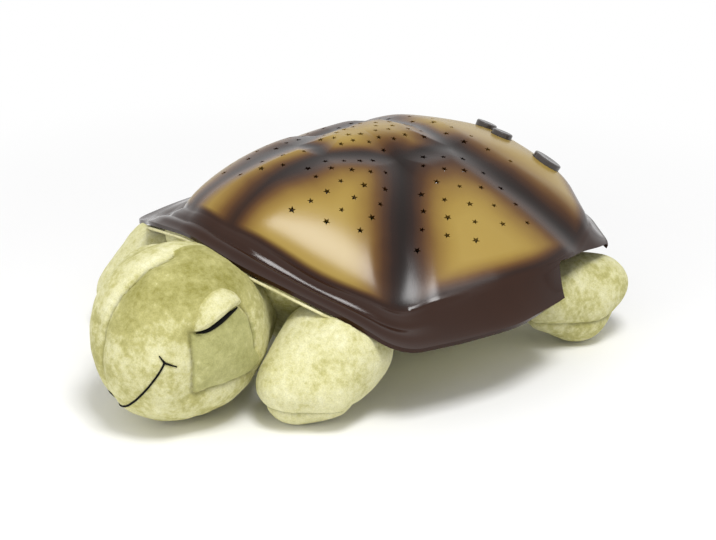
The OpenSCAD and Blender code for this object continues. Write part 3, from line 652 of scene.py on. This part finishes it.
def sew(bag, spots, depth=1.3, width=1.5, pull=0.9, reach=7):
    """Sinks a narrow line along a seam and pulls the fabric down towards it."""
    if not spots:
        return
    p = coords(bag.data)
    gap = distance_to(p, spots)
    sink = depth * np.exp(-(gap / width) ** 2) + pull * np.exp(-(gap / reach) ** 2)
    set_coords(bag.data, p - normals_of(bag.data) * sink[:, None] * MM)
    store(bag.data, "seam", np.exp(-(gap / 0.9) ** 2))


def crumple(bag, height=0.7, size=0.02):
    """Soft dents of hand-stuffed fibre."""
    p = coords(bag.data)
    wave = np.array([fractal(Vector(v) / size, 1.0, 2.0, 2) for v in p])
    set_coords(bag.data, p + normals_of(bag.data) * (wave * height * MM)[:, None])


def paint_light_shade_and_panels(name, bag):
    """Stores the pile's lightness (tone): painted shade on the top of the head, a painted highlight
    beside the crown seam, painted light on the front feet and darker cheek panels; and where the
    greyer cheek panels are (panel).
    """
    p = local(coords(bag.data))
    # painted light: the front feet start lighter than the rest of the plush
    tone, panel = np.full(len(p), 0.5 if "foot_front" in name else 0.0), np.zeros(len(p))
    if name == "plush_head":
        d = p - np.array(HEAD_AT)
        azimuth = np.degrees(np.arctan2(d[:, 0], -d[:, 1]))
        elevation = np.degrees(np.arcsin(d[:, 2] / np.linalg.norm(d, axis=1)))
        turned = np.abs((azimuth - FACE_TURN + 180) % 360 - 180)
        top = np.interp(turned, (68, 80, 90, 108, 125), (21, 22.5, 26.5, 31, 12))
        panel = (turned > 68) & (turned < 124) & (elevation < top) & (elevation > -22)
        panel = panel.astype(float)
        seam_az, seam_el = np.array(HEAD_SEAMS["crown"][::-1]).T
        beyond = azimuth < np.interp(elevation, seam_el, seam_az)
        gap = distance_to(coords(bag.data), seams["crown"])
        # painted shade: the head grows darker towards its top
        tone -= 1.4 * np.clip((elevation - 8) / 34, 0, 1) * ~beyond
        # painted highlight: a light band beside the crown seam, on its far side
        tone += 1.0 * np.exp(-((gap - 5) / 3.6) ** 2) * beyond * np.clip((elevation - 5) / 20, 0, 1)
        tone -= 0.9 * panel
    store(bag.data, "tone", tone)
    store(bag.data, "panel", panel)


for name, bag in bags.items():
    refine(bag)
    crumple(bag)
    sew(bag, seams[name])
    set_coords(bag.data, place(settle(local(coords(bag.data)))))
    smooth_shade(bag)
    paint_light_shade_and_panels(name, bag)
print({n: len(b.data.polygons) for n, b in bags.items()})

# %% [markdown]
# ## Belly
# The belly is a flat bowl that only shows from low down. It is made from stacked discs joined
# by their hull, and a window is cut in its underside for the battery cover.
# %% Belly
def belly_bag():
    bm = bmesh.new()
    for y, z, rx, ry in ((6, 1.5, 47, 61), (8, 11, 69, 80), (8, 29, 96.5, 98.5), (8, 46, 105, 104)):
        at = Matrix.Translation(place((0, y, z))) @ Matrix.Diagonal((rx * MM, ry * MM, 1, 1))
        bmesh.ops.create_circle(bm, cap_ends=True, radius=1, segments=96, matrix=at)
    for x, y, z in ((46, -95, 66), (-46, -95, 66), (0, 104, 44)):
        at = Matrix.Translation(place((x, y, z)))
        bmesh.ops.create_icosphere(bm, subdivisions=3, radius=12 * MM, matrix=at)
    return hull_piece("plush_belly", bm)


def smooth_roof(p):
    tray = (np.abs(p[:, 0]) < 96) & (p[:, 1] > -72) & (p[:, 1] < 88)
    p[:, 2] = np.where(tray, np.minimum(p[:, 2], 47.0), p[:, 2])
    return p


belly = belly_bag()
remesh(belly, 5)
set_coords(belly.data, place(smooth_roof(local(coords(belly.data)))))
refine(belly, 1)
bm = bmesh.new()
at = Matrix.Translation(place((0, 6, 25))) @ Matrix.Diagonal((51.6 * MM, 87.6 * MM, 60 * MM, 1))
bmesh.ops.create_cube(bm, size=1, matrix=at)
bmesh.ops.bevel(bm, geom=[e for e in bm.edges if abs(e.verts[0].co.z - e.verts[1].co.z) > 0.01],
                offset=4 * MM, segments=6, affect="EDGES", profile=0.5, material=-1)
window = new_piece("window", bm)
cut = belly.modifiers.new("window", "BOOLEAN")
cut.object = window
cut.solver = "MANIFOLD"
bake_modifiers(belly)
bpy.data.objects.remove(window)
smooth_shade(belly, 40)
print("belly", len(belly.data.polygons))

# %% [markdown]
# ## Eyelids
# A closed eye is a small puffed crescent of velour on the side of the head. It is plumpest just
# above its straight lower edge, where the black line is stitched. A grid is laid between the
# two edges, on the surface of the head, and lifted; a Solidify modifier closes it inwards.
# %% Eyelids
LID_LOWER = [(66, 22.6), (69.6, 21.8), (76, 22.6), (86, 26.3), (96, 29.6), (104, 30.6), (113, 30)]
LID_UPPER = [(66, 23.6), (69, 31), (76, 39.5), (87, 44.2), (101, 45), (110, 39.5), (114, 31)]


def eyelid(name, side, plump=6.6):
    columns, rows = 48, 20
    low, high = smooth_path(LID_LOWER, 8), smooth_path(LID_UPPER, 8)
    tree = BVHTree.FromObject(bags["plush_head"], bpy.context.evaluated_depsgraph_get())
    rim = []
    bm = bmesh.new()
    bmesh.ops.create_grid(bm, x_segments=columns, y_segments=rows, size=0.5)
    for v in bm.verts:
        t, s = v.co.x + 0.5, v.co.y + 0.5
        a, b = low[round(t * columns)], high[round(t * columns)]
        azimuth, elevation = a + (b - a) * s
        if side < 0:
            azimuth, elevation = mirror_heading(azimuth, elevation)
        hit, normal, _, _ = tree.ray_cast(Vector(place(HEAD_AT)), heading(azimuth, elevation))
        rise = (s / 0.2) ** 0.6 if s < 0.2 else 1 - 0.9 * ((s - 0.2) / 0.8) ** 1.7
        lift = plump * rise * max(0.0, math.sin(math.pi * t)) ** 0.6 - 0.7
        v.co = hit + (heading(azimuth, elevation) * 0.75 + normal * 0.25) * lift * MM
        if s > 0.999:
            rim.append(v.co.copy())
    piece = new_piece(name, bm)
    thick = piece.modifiers.new("close", "SOLIDIFY")
    thick.thickness = 2.0 * MM
    thick.offset = -1
    bake_modifiers(piece)
    smooth_shade(piece, 60)
    gap = distance_to(coords(piece.data), rim)
    # painted light: the lid is a little lighter, with a painted shadow line along its upper edge
    store(piece.data, "tone", 0.3 - 1.0 * np.exp(-(gap / 2.2) ** 2))
    return piece


lids = {"lid_left": eyelid("lid_left", 1), "lid_right": eyelid("lid_right", -1)}

# %% [markdown]
# ## Stitching
# Mouth and closed eyes are satin stitched in black. Each stitch is a tiny rounded bar that
# lies across the line at a slant. Hundreds of them overlap into the corded line of real
# embroidery, so each bar has only a few faces.
# %% Embroidery
def stitch_line(bm, spots, half_width, spacing=0.55, slant=28):
    """Lays slanted bars along a path of (point, normal); half_width(t) is in millimetres."""
    points = [Vector(s[0]) for s in spots]
    length = [0.0]
    for a, b in zip(points[:-1], points[1:]):
        length.append(length[-1] + (b - a).length / MM)
    count = max(2, int(length[-1] / spacing))
    for i in range(count + 1):
        t = i / count
        j = min(int(np.searchsorted(length, t * length[-1], side="right")) - 1, len(points) - 2)
        f = (t * length[-1] - length[j]) / max(length[j + 1] - length[j], 1e-6)
        at = points[j].lerp(points[j + 1], min(max(f, 0), 1))
        normal = spots[j][1].normalized()
        along = (points[j + 1] - points[j]).normalized()
        across = normal.cross(along).normalized()
        across = (Matrix.Rotation(math.radians(slant), 3, normal) @ across).normalized()
        along = across.cross(normal)
        basis = Matrix((across, along, normal)).transposed().to_4x4()
        wide = max(half_width(t), 0.35)
        matrix = (Matrix.Translation(at + normal * 0.25 * MM) @ basis
                  @ Matrix.Diagonal((wide * MM, 0.42 * MM, 0.5 * MM, 1)))
        bmesh.ops.create_icosphere(bm, subdivisions=1, radius=1, matrix=matrix)


head = bags["plush_head"]
MOUTH = [(47, 4), (45, 0), (40.5, -7), (32.5, -17), (24, -25.5), (14, -33), (4, -37), (-4, -38.5)]
TICKS = [[(47, 4), (44, 8)], [(47, 4), (54, 1)]]
EYE = [(69, 20.8), (76, 21.6), (86, 25), (96, 28.2), (104.5, 29.6)]
bm = bmesh.new()
mouth = MOUTH + [mirror_heading(*h) for h in MOUTH[-2::-1]]
stitch_line(bm, surface_path([head], HEAD_AT, mouth), lambda t: 0.75)
for tick in TICKS:
    for line in (tick, [mirror_heading(*h) for h in tick]):
        stitch_line(bm, surface_path([head], HEAD_AT, line), lambda t: 0.9 - 0.5 * t)
for line in (EYE, [mirror_heading(*h) for h in EYE]):
    stitch_line(bm, surface_path([head, *lids.values()], HEAD_AT, line),
                lambda t: 0.5 + 1.4 * math.sin(math.pi * min(1, t * 1.03)) ** 0.8)
embroidery = new_piece("embroidery", bm)
smooth_shade(embroidery)
print("stitch faces", len(embroidery.data.polygons))

# %% [markdown]
# ## Piping under the lip
# A thin cord of light velour is sewn along the plush where it meets the shell's front edge. It
# follows the rim, as a curve with a round bevel that becomes a mesh.
# %% Piping
def piping():
    angle = np.linspace(-134, -46, 90)
    rim = np.full(len(angle), 2.0)
    edge = on_shell(rim, angle) - np.array((0, 0, 1.4)) - 3.0 * shell_normal(rim, angle)
    curve = bpy.data.curves.new("lip_piping", "CURVE")
    curve.dimensions = "3D"
    curve.bevel_depth = 0.85 * MM
    curve.bevel_resolution = 3
    curve.use_fill_caps = True
    line = curve.splines.new("POLY")
    line.points.add(len(edge) - 1)
    for point, p in zip(line.points, place(edge)):
        point.co = (*p, 1)
    holder = bpy.data.objects.new("lip_piping_curve", curve)
    bpy.context.collection.objects.link(holder)
    graph = bpy.context.evaluated_depsgraph_get()
    mesh = bpy.data.meshes.new_from_object(holder.evaluated_get(graph))
    bpy.data.objects.remove(holder)
    piece = bpy.data.objects.new("lip_piping", mesh)
    bpy.context.collection.objects.link(piece)
    smooth_shade(piece)
    return piece


piping_cord = piping()

# %% [markdown]
# ## Node groups
# Three effects are shared: the mottled pile of crushed velour, the faint orange peel of
# moulded plastic, and the brushed grain of plated steel. Each is a group with named sockets
# that gives only colours and heights, so the shader itself stays in the material.
# %% Group helpers
def new_group(name, inputs, outputs):
    group = bpy.data.node_groups.new(name, "ShaderNodeTree")
    for label, kind, value in inputs:
        socket = group.interface.new_socket(label, in_out="INPUT", socket_type=kind)
        socket.default_value = value
    for label, kind in outputs:
        group.interface.new_socket(label, in_out="OUTPUT", socket_type=kind)
    return group, group.nodes.new("NodeGroupInput"), group.nodes.new("NodeGroupOutput")


def feed(tree, node, values):
    """Sets or links inputs of a node; values maps socket labels or indices to what goes in."""
    for label, value in values.items():
        if isinstance(value, bpy.types.NodeSocket):
            tree.links.new(value, node.inputs[label])
        else:
            node.inputs[label].default_value = value


def noise(tree, vector, scale, detail=3.0, roughness=0.55):
    node = tree.nodes.new("ShaderNodeTexNoise")
    feed(tree, node, {"Vector": vector, "Scale": scale, "Detail": detail, "Roughness": roughness})
    return node.outputs["Fac"]


def maths(tree, operation, a, b=None, c=None):
    node = tree.nodes.new("ShaderNodeMath")
    node.operation = operation
    feed(tree, node, {i: value for i, value in enumerate((a, b, c)) if value is not None})
    return node.outputs[0]


def mix_colour(tree, factor, a, b, blend="MIX"):
    """Mixes two colours; sockets 0, 6 and 7 are the factor and the two colour inputs."""
    node = tree.nodes.new("ShaderNodeMix")
    node.data_type = "RGBA"
    node.blend_type = blend
    feed(tree, node, {0: factor, 6: a, 7: b})
    return node.outputs[2]


def darken(tree, colour, value):
    """A colour multiplied by a grey value."""
    grey = tree.nodes.new("ShaderNodeCombineColor")
    for s in grey.inputs:
        tree.links.new(value, s)
    return mix_colour(tree, 1.0, colour, grey.outputs[0], "MULTIPLY")


def ramp(tree, factor, stops):
    node = tree.nodes.new("ShaderNodeValToRGB")
    elements = node.color_ramp.elements
    while len(elements) > 1:
        elements.remove(elements[-1])
    elements[0].position, elements[0].color = stops[0]
    for position, colour in stops[1:]:
        elements.new(position).color = colour
    tree.links.new(factor, node.inputs["Fac"])
    return node.outputs["Color"]


def srgb(r, g, b):
    return tuple((c / 255 / 12.92) if c / 255 < 0.04045 else ((c / 255 + 0.055) / 1.055) ** 2.4
                 for c in (r, g, b)) + (1.0,)


# %% Crushed velour group
velour_group, gin, gout = new_group("crushed_velour", [
    ("Vector", "NodeSocketVector", (0, 0, 0)),
    ("Light", "NodeSocketColor", srgb(229, 229, 178)),
    ("Middle", "NodeSocketColor", srgb(193, 197, 128)),
    ("Shade", "NodeSocketColor", srgb(138, 143, 72)),
    ("Seam", "NodeSocketFloat", 0.0),
    ("Tone", "NodeSocketFloat", 0.0),
    ("Panel", "NodeSocketFloat", 0.0)],
    [("Colour", "NodeSocketColor"), ("Height", "NodeSocketFloat")])
vec = gin.outputs["Vector"]
blotch = noise(velour_group, vec, 62, 5, 0.62)
streak = noise(velour_group, vec, 300, 3, 0.6)
fibre = noise(velour_group, vec, 1500, 2, 0.5)
level = maths(velour_group, "ADD", maths(velour_group, "MULTIPLY", blotch, 0.6),
              maths(velour_group, "MULTIPLY", streak, 0.4))
# Tone brightens or darkens the pile: it carries painted light and shade stored on the pieces
level = maths(velour_group, "MULTIPLY_ADD", gin.outputs["Tone"], 0.13, level)
lower = maths(velour_group, "MULTIPLY", maths(velour_group, "SUBTRACT", level, 0.18), 2.8)
lower = maths(velour_group, "SMOOTH_MIN", lower, 1.0, 0.1)
upper = maths(velour_group, "MULTIPLY", maths(velour_group, "SUBTRACT", level, 0.43), 2.5)
dark_mid = mix_colour(velour_group, lower, gin.outputs["Shade"], gin.outputs["Middle"])
pile = mix_colour(velour_group, upper, dark_mid, gin.outputs["Light"])
greyed = maths(velour_group, "MULTIPLY", gin.outputs["Panel"], 0.25)
pile = mix_colour(velour_group, greyed, pile, srgb(176, 182, 136))
stitched = maths(velour_group, "MULTIPLY", gin.outputs["Seam"], 0.6)
pile = mix_colour(velour_group, stitched, pile, srgb(84, 80, 34))
speck = maths(velour_group, "ADD", maths(velour_group, "MULTIPLY", fibre, 0.5), 0.75)
height = maths(velour_group, "ADD", maths(velour_group, "MULTIPLY", streak, 0.7),
               maths(velour_group, "MULTIPLY", fibre, 0.3))
feed(velour_group, gout, {"Colour": darken(velour_group, pile, speck), "Height": height})

# %% Moulded plastic group and brushed metal group
SURFACE = [("Colour", "NodeSocketColor"), ("Roughness", "NodeSocketFloat"),
           ("Height", "NodeSocketFloat")]
moulded_group, gin, gout = new_group("moulded", [
    ("Vector", "NodeSocketVector", (0, 0, 0)), ("Colour", "NodeSocketColor", (0.5, 0.5, 0.5, 1)),
    ("Grain", "NodeSocketFloat", 900.0)], SURFACE)
soft = noise(moulded_group, gin.outputs["Vector"], 35, 3)
fine = noise(moulded_group, gin.outputs["Vector"], gin.outputs["Grain"], 2)
shade = maths(moulded_group, "ADD", maths(moulded_group, "MULTIPLY", soft, 0.35), 0.82)
tinted = darken(moulded_group, gin.outputs["Colour"], shade)
rough = maths(moulded_group, "ADD", maths(moulded_group, "MULTIPLY", soft, 0.2), 0.38)
feed(moulded_group, gout, {"Colour": tinted, "Roughness": rough, "Height": fine})

brushed_group, gin, gout = new_group("brushed", [
    ("Vector", "NodeSocketVector", (0, 0, 0)),
    ("Colour", "NodeSocketColor", (0.6, 0.6, 0.6, 1))], SURFACE)
stretch = brushed_group.nodes.new("ShaderNodeVectorMath")
stretch.operation = "MULTIPLY"
feed(brushed_group, stretch, {0: gin.outputs["Vector"], 1: (1, 1, 0.12)})
lines = noise(brushed_group, stretch.outputs[0], 2600, 2)
cloud = noise(brushed_group, gin.outputs["Vector"], 120, 3)
tone = maths(brushed_group, "ADD", maths(brushed_group, "MULTIPLY", cloud, 0.4), 0.78)
tinted = darken(brushed_group, gin.outputs["Colour"], tone)
rough = maths(brushed_group, "ADD", maths(brushed_group, "MULTIPLY", lines, 0.3), 0.2)
feed(brushed_group, gout, {"Colour": tinted, "Roughness": rough, "Height": lines})


# %% Materials from the groups
def new_material(name):
    material = bpy.data.materials.new(name)
    material.use_nodes = True
    tree = material.node_tree
    shader = tree.nodes["Principled BSDF"]
    where = tree.nodes.new("ShaderNodeTexCoord").outputs["Object"]
    return material, tree, shader, where


def add_bump(tree, shader, height, strength, distance):
    bump = tree.nodes.new("ShaderNodeBump")
    feed(tree, bump, {"Strength": strength, "Distance": distance, "Height": height})
    feed(tree, shader, {"Normal": bump.outputs["Normal"]})


def use_group(tree, group, where, **values):
    node = tree.nodes.new("ShaderNodeGroup")
    node.node_tree = group
    feed(tree, node, {"Vector": where, **values})
    return node


def velour(name, light, middle, shade):
    material, tree, shader, where = new_material(name)
    node = use_group(tree, velour_group, where, Light=light, Middle=middle, Shade=shade)
    # tone carries painted light and shade; seam and panel are the dark joints and greyer panels
    for label in ("seam", "tone", "panel"):
        mark = tree.nodes.new("ShaderNodeAttribute")
        mark.attribute_name = label
        feed(tree, node, {label.capitalize(): mark.outputs["Fac"]})
    feed(tree, shader, {
        "Base Color": node.outputs["Colour"], "Roughness": 0.85, "Specular IOR Level": 0.25,
        "Sheen Weight": 0.22, "Sheen Roughness": 0.4, "Sheen Tint": srgb(240, 240, 190)})
    add_bump(tree, shader, node.outputs["Height"], 0.55, 0.0012)
    return material


def plastic(name, colour, grain=900.0, bump=0.12, coat=0.0, specular=0.5):
    material, tree, shader, where = new_material(name)
    node = use_group(tree, moulded_group, where, Colour=colour, Grain=grain)
    feed(tree, shader, {
        "Base Color": node.outputs["Colour"], "Roughness": node.outputs["Roughness"],
        "Specular IOR Level": specular, "Coat Weight": coat})
    if coat:
        feed(tree, shader, {"Coat Roughness": 0.12})
    add_bump(tree, shader, node.outputs["Height"], bump, 0.0004)
    return material


def metal(name, colour):
    material, tree, shader, where = new_material(name)
    node = use_group(tree, brushed_group, where, Colour=colour)
    feed(tree, shader, {"Base Color": node.outputs["Colour"], "Metallic": 1.0,
                        "Roughness": node.outputs["Roughness"]})
    add_bump(tree, shader, node.outputs["Height"], 0.08, 0.0002)
    return material


# %% [markdown]
# ## Lacquered tortoiseshell
# The shell is sprayed gold in the middle of each scute, fading through red brown to near black
# in the grooves, then lacquered. The fade reads the stored numbers. Noise breaks it up as an
# airbrush does. The skirt is the glossiest; the sprayed scutes are slightly softer.
# %% Shell material
def shell_lacquer():
    material, tree, shader, where = new_material("tortoiseshell_lacquer")
    reads = {}
    for label in ("shade", "crease"):
        node = tree.nodes.new("ShaderNodeAttribute")
        node.attribute_name = label
        reads[label] = node.outputs["Fac"]
    wander = maths(tree, "SUBTRACT", noise(tree, where, 26, 3, 0.55), 0.5)
    wander = maths(tree, "MULTIPLY", wander, 7.0)
    sprayed = maths(tree, "DIVIDE", maths(tree, "ADD", reads["shade"], wander), 30.0)
    paint = ramp(tree, sprayed, [
        (0.0, srgb(20, 8, 4)), (0.14, srgb(34, 16, 8)), (0.30, srgb(66, 39, 17)),
        (0.44, srgb(98, 67, 29)), (0.60, srgb(130, 101, 45)), (0.82, srgb(152, 125, 58)),
        (1.0, srgb(160, 134, 66))])
    skirt = mix_colour(tree, noise(tree, where, 16, 3), srgb(36, 17, 8), srgb(52, 28, 15))
    on_dome = maths(tree, "DIVIDE", reads["crease"], 3.0)
    on_dome = maths(tree, "SMOOTH_MAX", on_dome, 0.0, 0.05)
    on_dome = maths(tree, "SMOOTH_MIN", on_dome, 1.0, 0.05)
    feed(tree, shader, {
        "Base Color": mix_colour(tree, on_dome, skirt, paint),
        "Roughness": maths(tree, "MULTIPLY_ADD", on_dome, 0.1, 0.14), "Specular IOR Level": 0.24})
    add_bump(tree, shader, noise(tree, where, 420, 2), 0.02, 0.0004)
    return material


# %% Finish table
FINISH = {
    "shell_plastic": shell_lacquer(),
    "plush": velour("crushed_velour_green", srgb(238, 236, 204), srgb(199, 194, 132),
                    srgb(140, 135, 66)),
    "button_plastic": plastic("button_plastic", srgb(44, 36, 32), 1400.0, 0.08, 0.6),
    "tray_plastic": plastic("tray_plastic", srgb(60, 56, 52), 1100.0, 0.35),
    "screw_steel": metal("screw_steel", srgb(190, 190, 192)),
    "contact_steel": metal("contact_steel", srgb(214, 212, 206)),
    "cell_jacket": plastic("cell_jacket", srgb(176, 138, 62), 300.0, 0.05, 0.5),
    "board_laminate": plastic("board_laminate", srgb(32, 96, 58), 700.0, 0.2, 0.3),
    "component_black": plastic("component_black", srgb(34, 34, 36), 1500.0, 0.3),
    "amber_lens": plastic("amber_lens", srgb(238, 160, 48), 60.0, 0.02, 1.0),
    "green_lens": plastic("green_lens", srgb(70, 190, 90), 60.0, 0.02, 1.0),
    "blue_lens": plastic("blue_lens", srgb(60, 110, 225), 60.0, 0.02, 1.0),
    "lead_insulation": plastic("lead_insulation", srgb(168, 34, 30), 500.0, 0.1),
}
thread_black = plastic("thread_black", srgb(10, 9, 8), 2600.0, 0.4, specular=0.12)
piping_velour = velour("piping_velour", srgb(236, 232, 196), srgb(214, 208, 160),
                       srgb(170, 164, 112))
slots = {s["node"]: s["material_slot"] for s in frame["record"]["subparts"]}
for node, piece in frame["nodes"].items():
    if slots[node] == "plush":
        continue
    piece.data.materials.clear()
    piece.data.materials.append(FINISH[slots[node]])
print("finishes", len(FINISH))

# %% [markdown]
# ## Dress the frame
# Every new piece takes its material, rides on the turtle, and stands for the CAD solid whose
# place it holds.
# %% Assign, ride and replace
def dress(piece, material, slot, *nodes, fill=None):
    piece.data.materials.clear()
    piece.data.materials.append(material)
    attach(piece, ROOT)
    if nodes:
        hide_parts(*nodes)


dress(shell, FINISH["shell_plastic"], "shell_plastic", "shell")
dress(posts, FINISH["shell_plastic"], "shell_plastic", "shell")
dress(bags["plush_head"], FINISH["plush"], "plush", "head", fill=0.9)
for end in ("front", "rear"):
    for side in ("left", "right"):
        foot = f"foot_{end}_{side}"
        dress(bags["plush_" + foot], FINISH["plush"], "plush", foot, fill=0.8)
dress(bags["plush_tail"], FINISH["plush"], "plush", "tail", fill=0.8)
dress(belly, FINISH["plush"], "plush", "belly", fill=0.8)
dress(lids["lid_left"], FINISH["plush"], "plush", "eyelid_left", fill=0.7)
dress(lids["lid_right"], FINISH["plush"], "plush", "eyelid_right", fill=0.7)
dress(embroidery, thread_black, "plush")
dress(piping_cord, piping_velour, "plush")

# %% [markdown]
# ## Table, light and camera
# A pale table, a softbox high on the turtle's left, a weak fill in front and an even white sky
# give the plain light of a product photograph. The fill isn't mirrored in the lacquer, so the
# shell shows one soft highlight. Away from the turtle the table turns white for the camera.
# %% Floor
bm = bmesh.new()
bmesh.ops.create_grid(bm, x_segments=8, y_segments=8, size=3.0)
floor = new_piece("floor", bm, recalc=False)
material, tree, shader, where = new_material("pale_table")
pale = mix_colour(tree, noise(tree, where, 3, 2), srgb(244, 244, 244), srgb(250, 250, 250))
feed(tree, shader, {"Base Color": pale, "Roughness": 0.7})
away = tree.nodes.new("ShaderNodeVectorMath")
away.operation = "LENGTH"
feed(tree, away, {0: where})
far = maths(tree, "SUBTRACT", away.outputs["Value"], 0.16)
far = maths(tree, "MAXIMUM", maths(tree, "MULTIPLY", far, 3.2), 0.0)
far = maths(tree, "SMOOTH_MIN", far, 1.0, 0.2)
seen = tree.nodes.new("ShaderNodeLightPath").outputs["Is Camera Ray"]
seen_far = maths(tree, "MULTIPLY", far, seen)
white = tree.nodes.new("ShaderNodeEmission")
blend = tree.nodes.new("ShaderNodeMixShader")
feed(tree, blend, {0: seen_far, 1: shader.outputs[0], 2: white.outputs[0]})
feed(tree, tree.nodes["Material Output"], {"Surface": blend.outputs[0]})
floor.data.materials.append(material)

# %% World
world = bpy.data.worlds.new("studio")
bpy.context.scene.world = world
world.use_nodes = True
tree = world.node_tree
tree.nodes.clear()
seen = tree.nodes.new("ShaderNodeBackground")
feed(tree, seen, {"Color": (1, 1, 1, 1), "Strength": 1.0})
lit = tree.nodes.new("ShaderNodeBackground")
feed(tree, lit, {"Color": (1, 1, 1, 1), "Strength": 0.55})
path = tree.nodes.new("ShaderNodeLightPath")
direct = maths(tree, "MAXIMUM", path.outputs["Is Camera Ray"], path.outputs["Is Transmission Ray"])
direct = maths(tree, "MAXIMUM", direct, path.outputs["Is Glossy Ray"])
mixer = tree.nodes.new("ShaderNodeMixShader")
feed(tree, mixer, {0: direct, 1: lit.outputs[0], 2: seen.outputs[0]})
feed(tree, tree.nodes.new("ShaderNodeOutputWorld"), {"Surface": mixer.outputs[0]})

# %% Lamps
def softbox(name, at, to, size, power, mirrored=True):
    light = bpy.data.lights.new(name, "AREA")
    light.shape = "RECTANGLE"
    light.size, light.size_y = size
    light.energy = power
    lamp = bpy.data.objects.new(name, light)
    lamp.location = at
    lamp.visible_glossy = mirrored
    lamp.rotation_euler = (Vector(at) - Vector(to)).to_track_quat("Z", "Y").to_euler()
    bpy.context.collection.objects.link(lamp)


softbox("key_softbox", (0.535, -0.21, 1.28), (0.065, -0.038, 0.084), (0.4, 0.42), 12)
softbox("front_softbox", (0.1, -1.7, 0.8), (0, -0.1, 0.05), (0.9, 0.6), 6, mirrored=False)

# %% Camera
AIM = place((6.8, -8.7, 35.4))
back = heading(49.9, 22.6)
camera = bpy.data.objects.new("camera", bpy.data.cameras.new("camera"))
camera.data.lens = 1650 / 716 * 36
camera.data.sensor_width = 36
camera.data.clip_start, camera.data.clip_end = 0.05, 20
camera.location = Vector(AIM) + back * 0.974
camera.rotation_mode = "QUATERNION"
camera.rotation_quaternion = back.to_track_quat("Z", "Y")
bpy.context.collection.objects.link(camera)
bpy.context.scene.camera = camera
bpy.context.scene.view_settings.view_transform = "Standard"
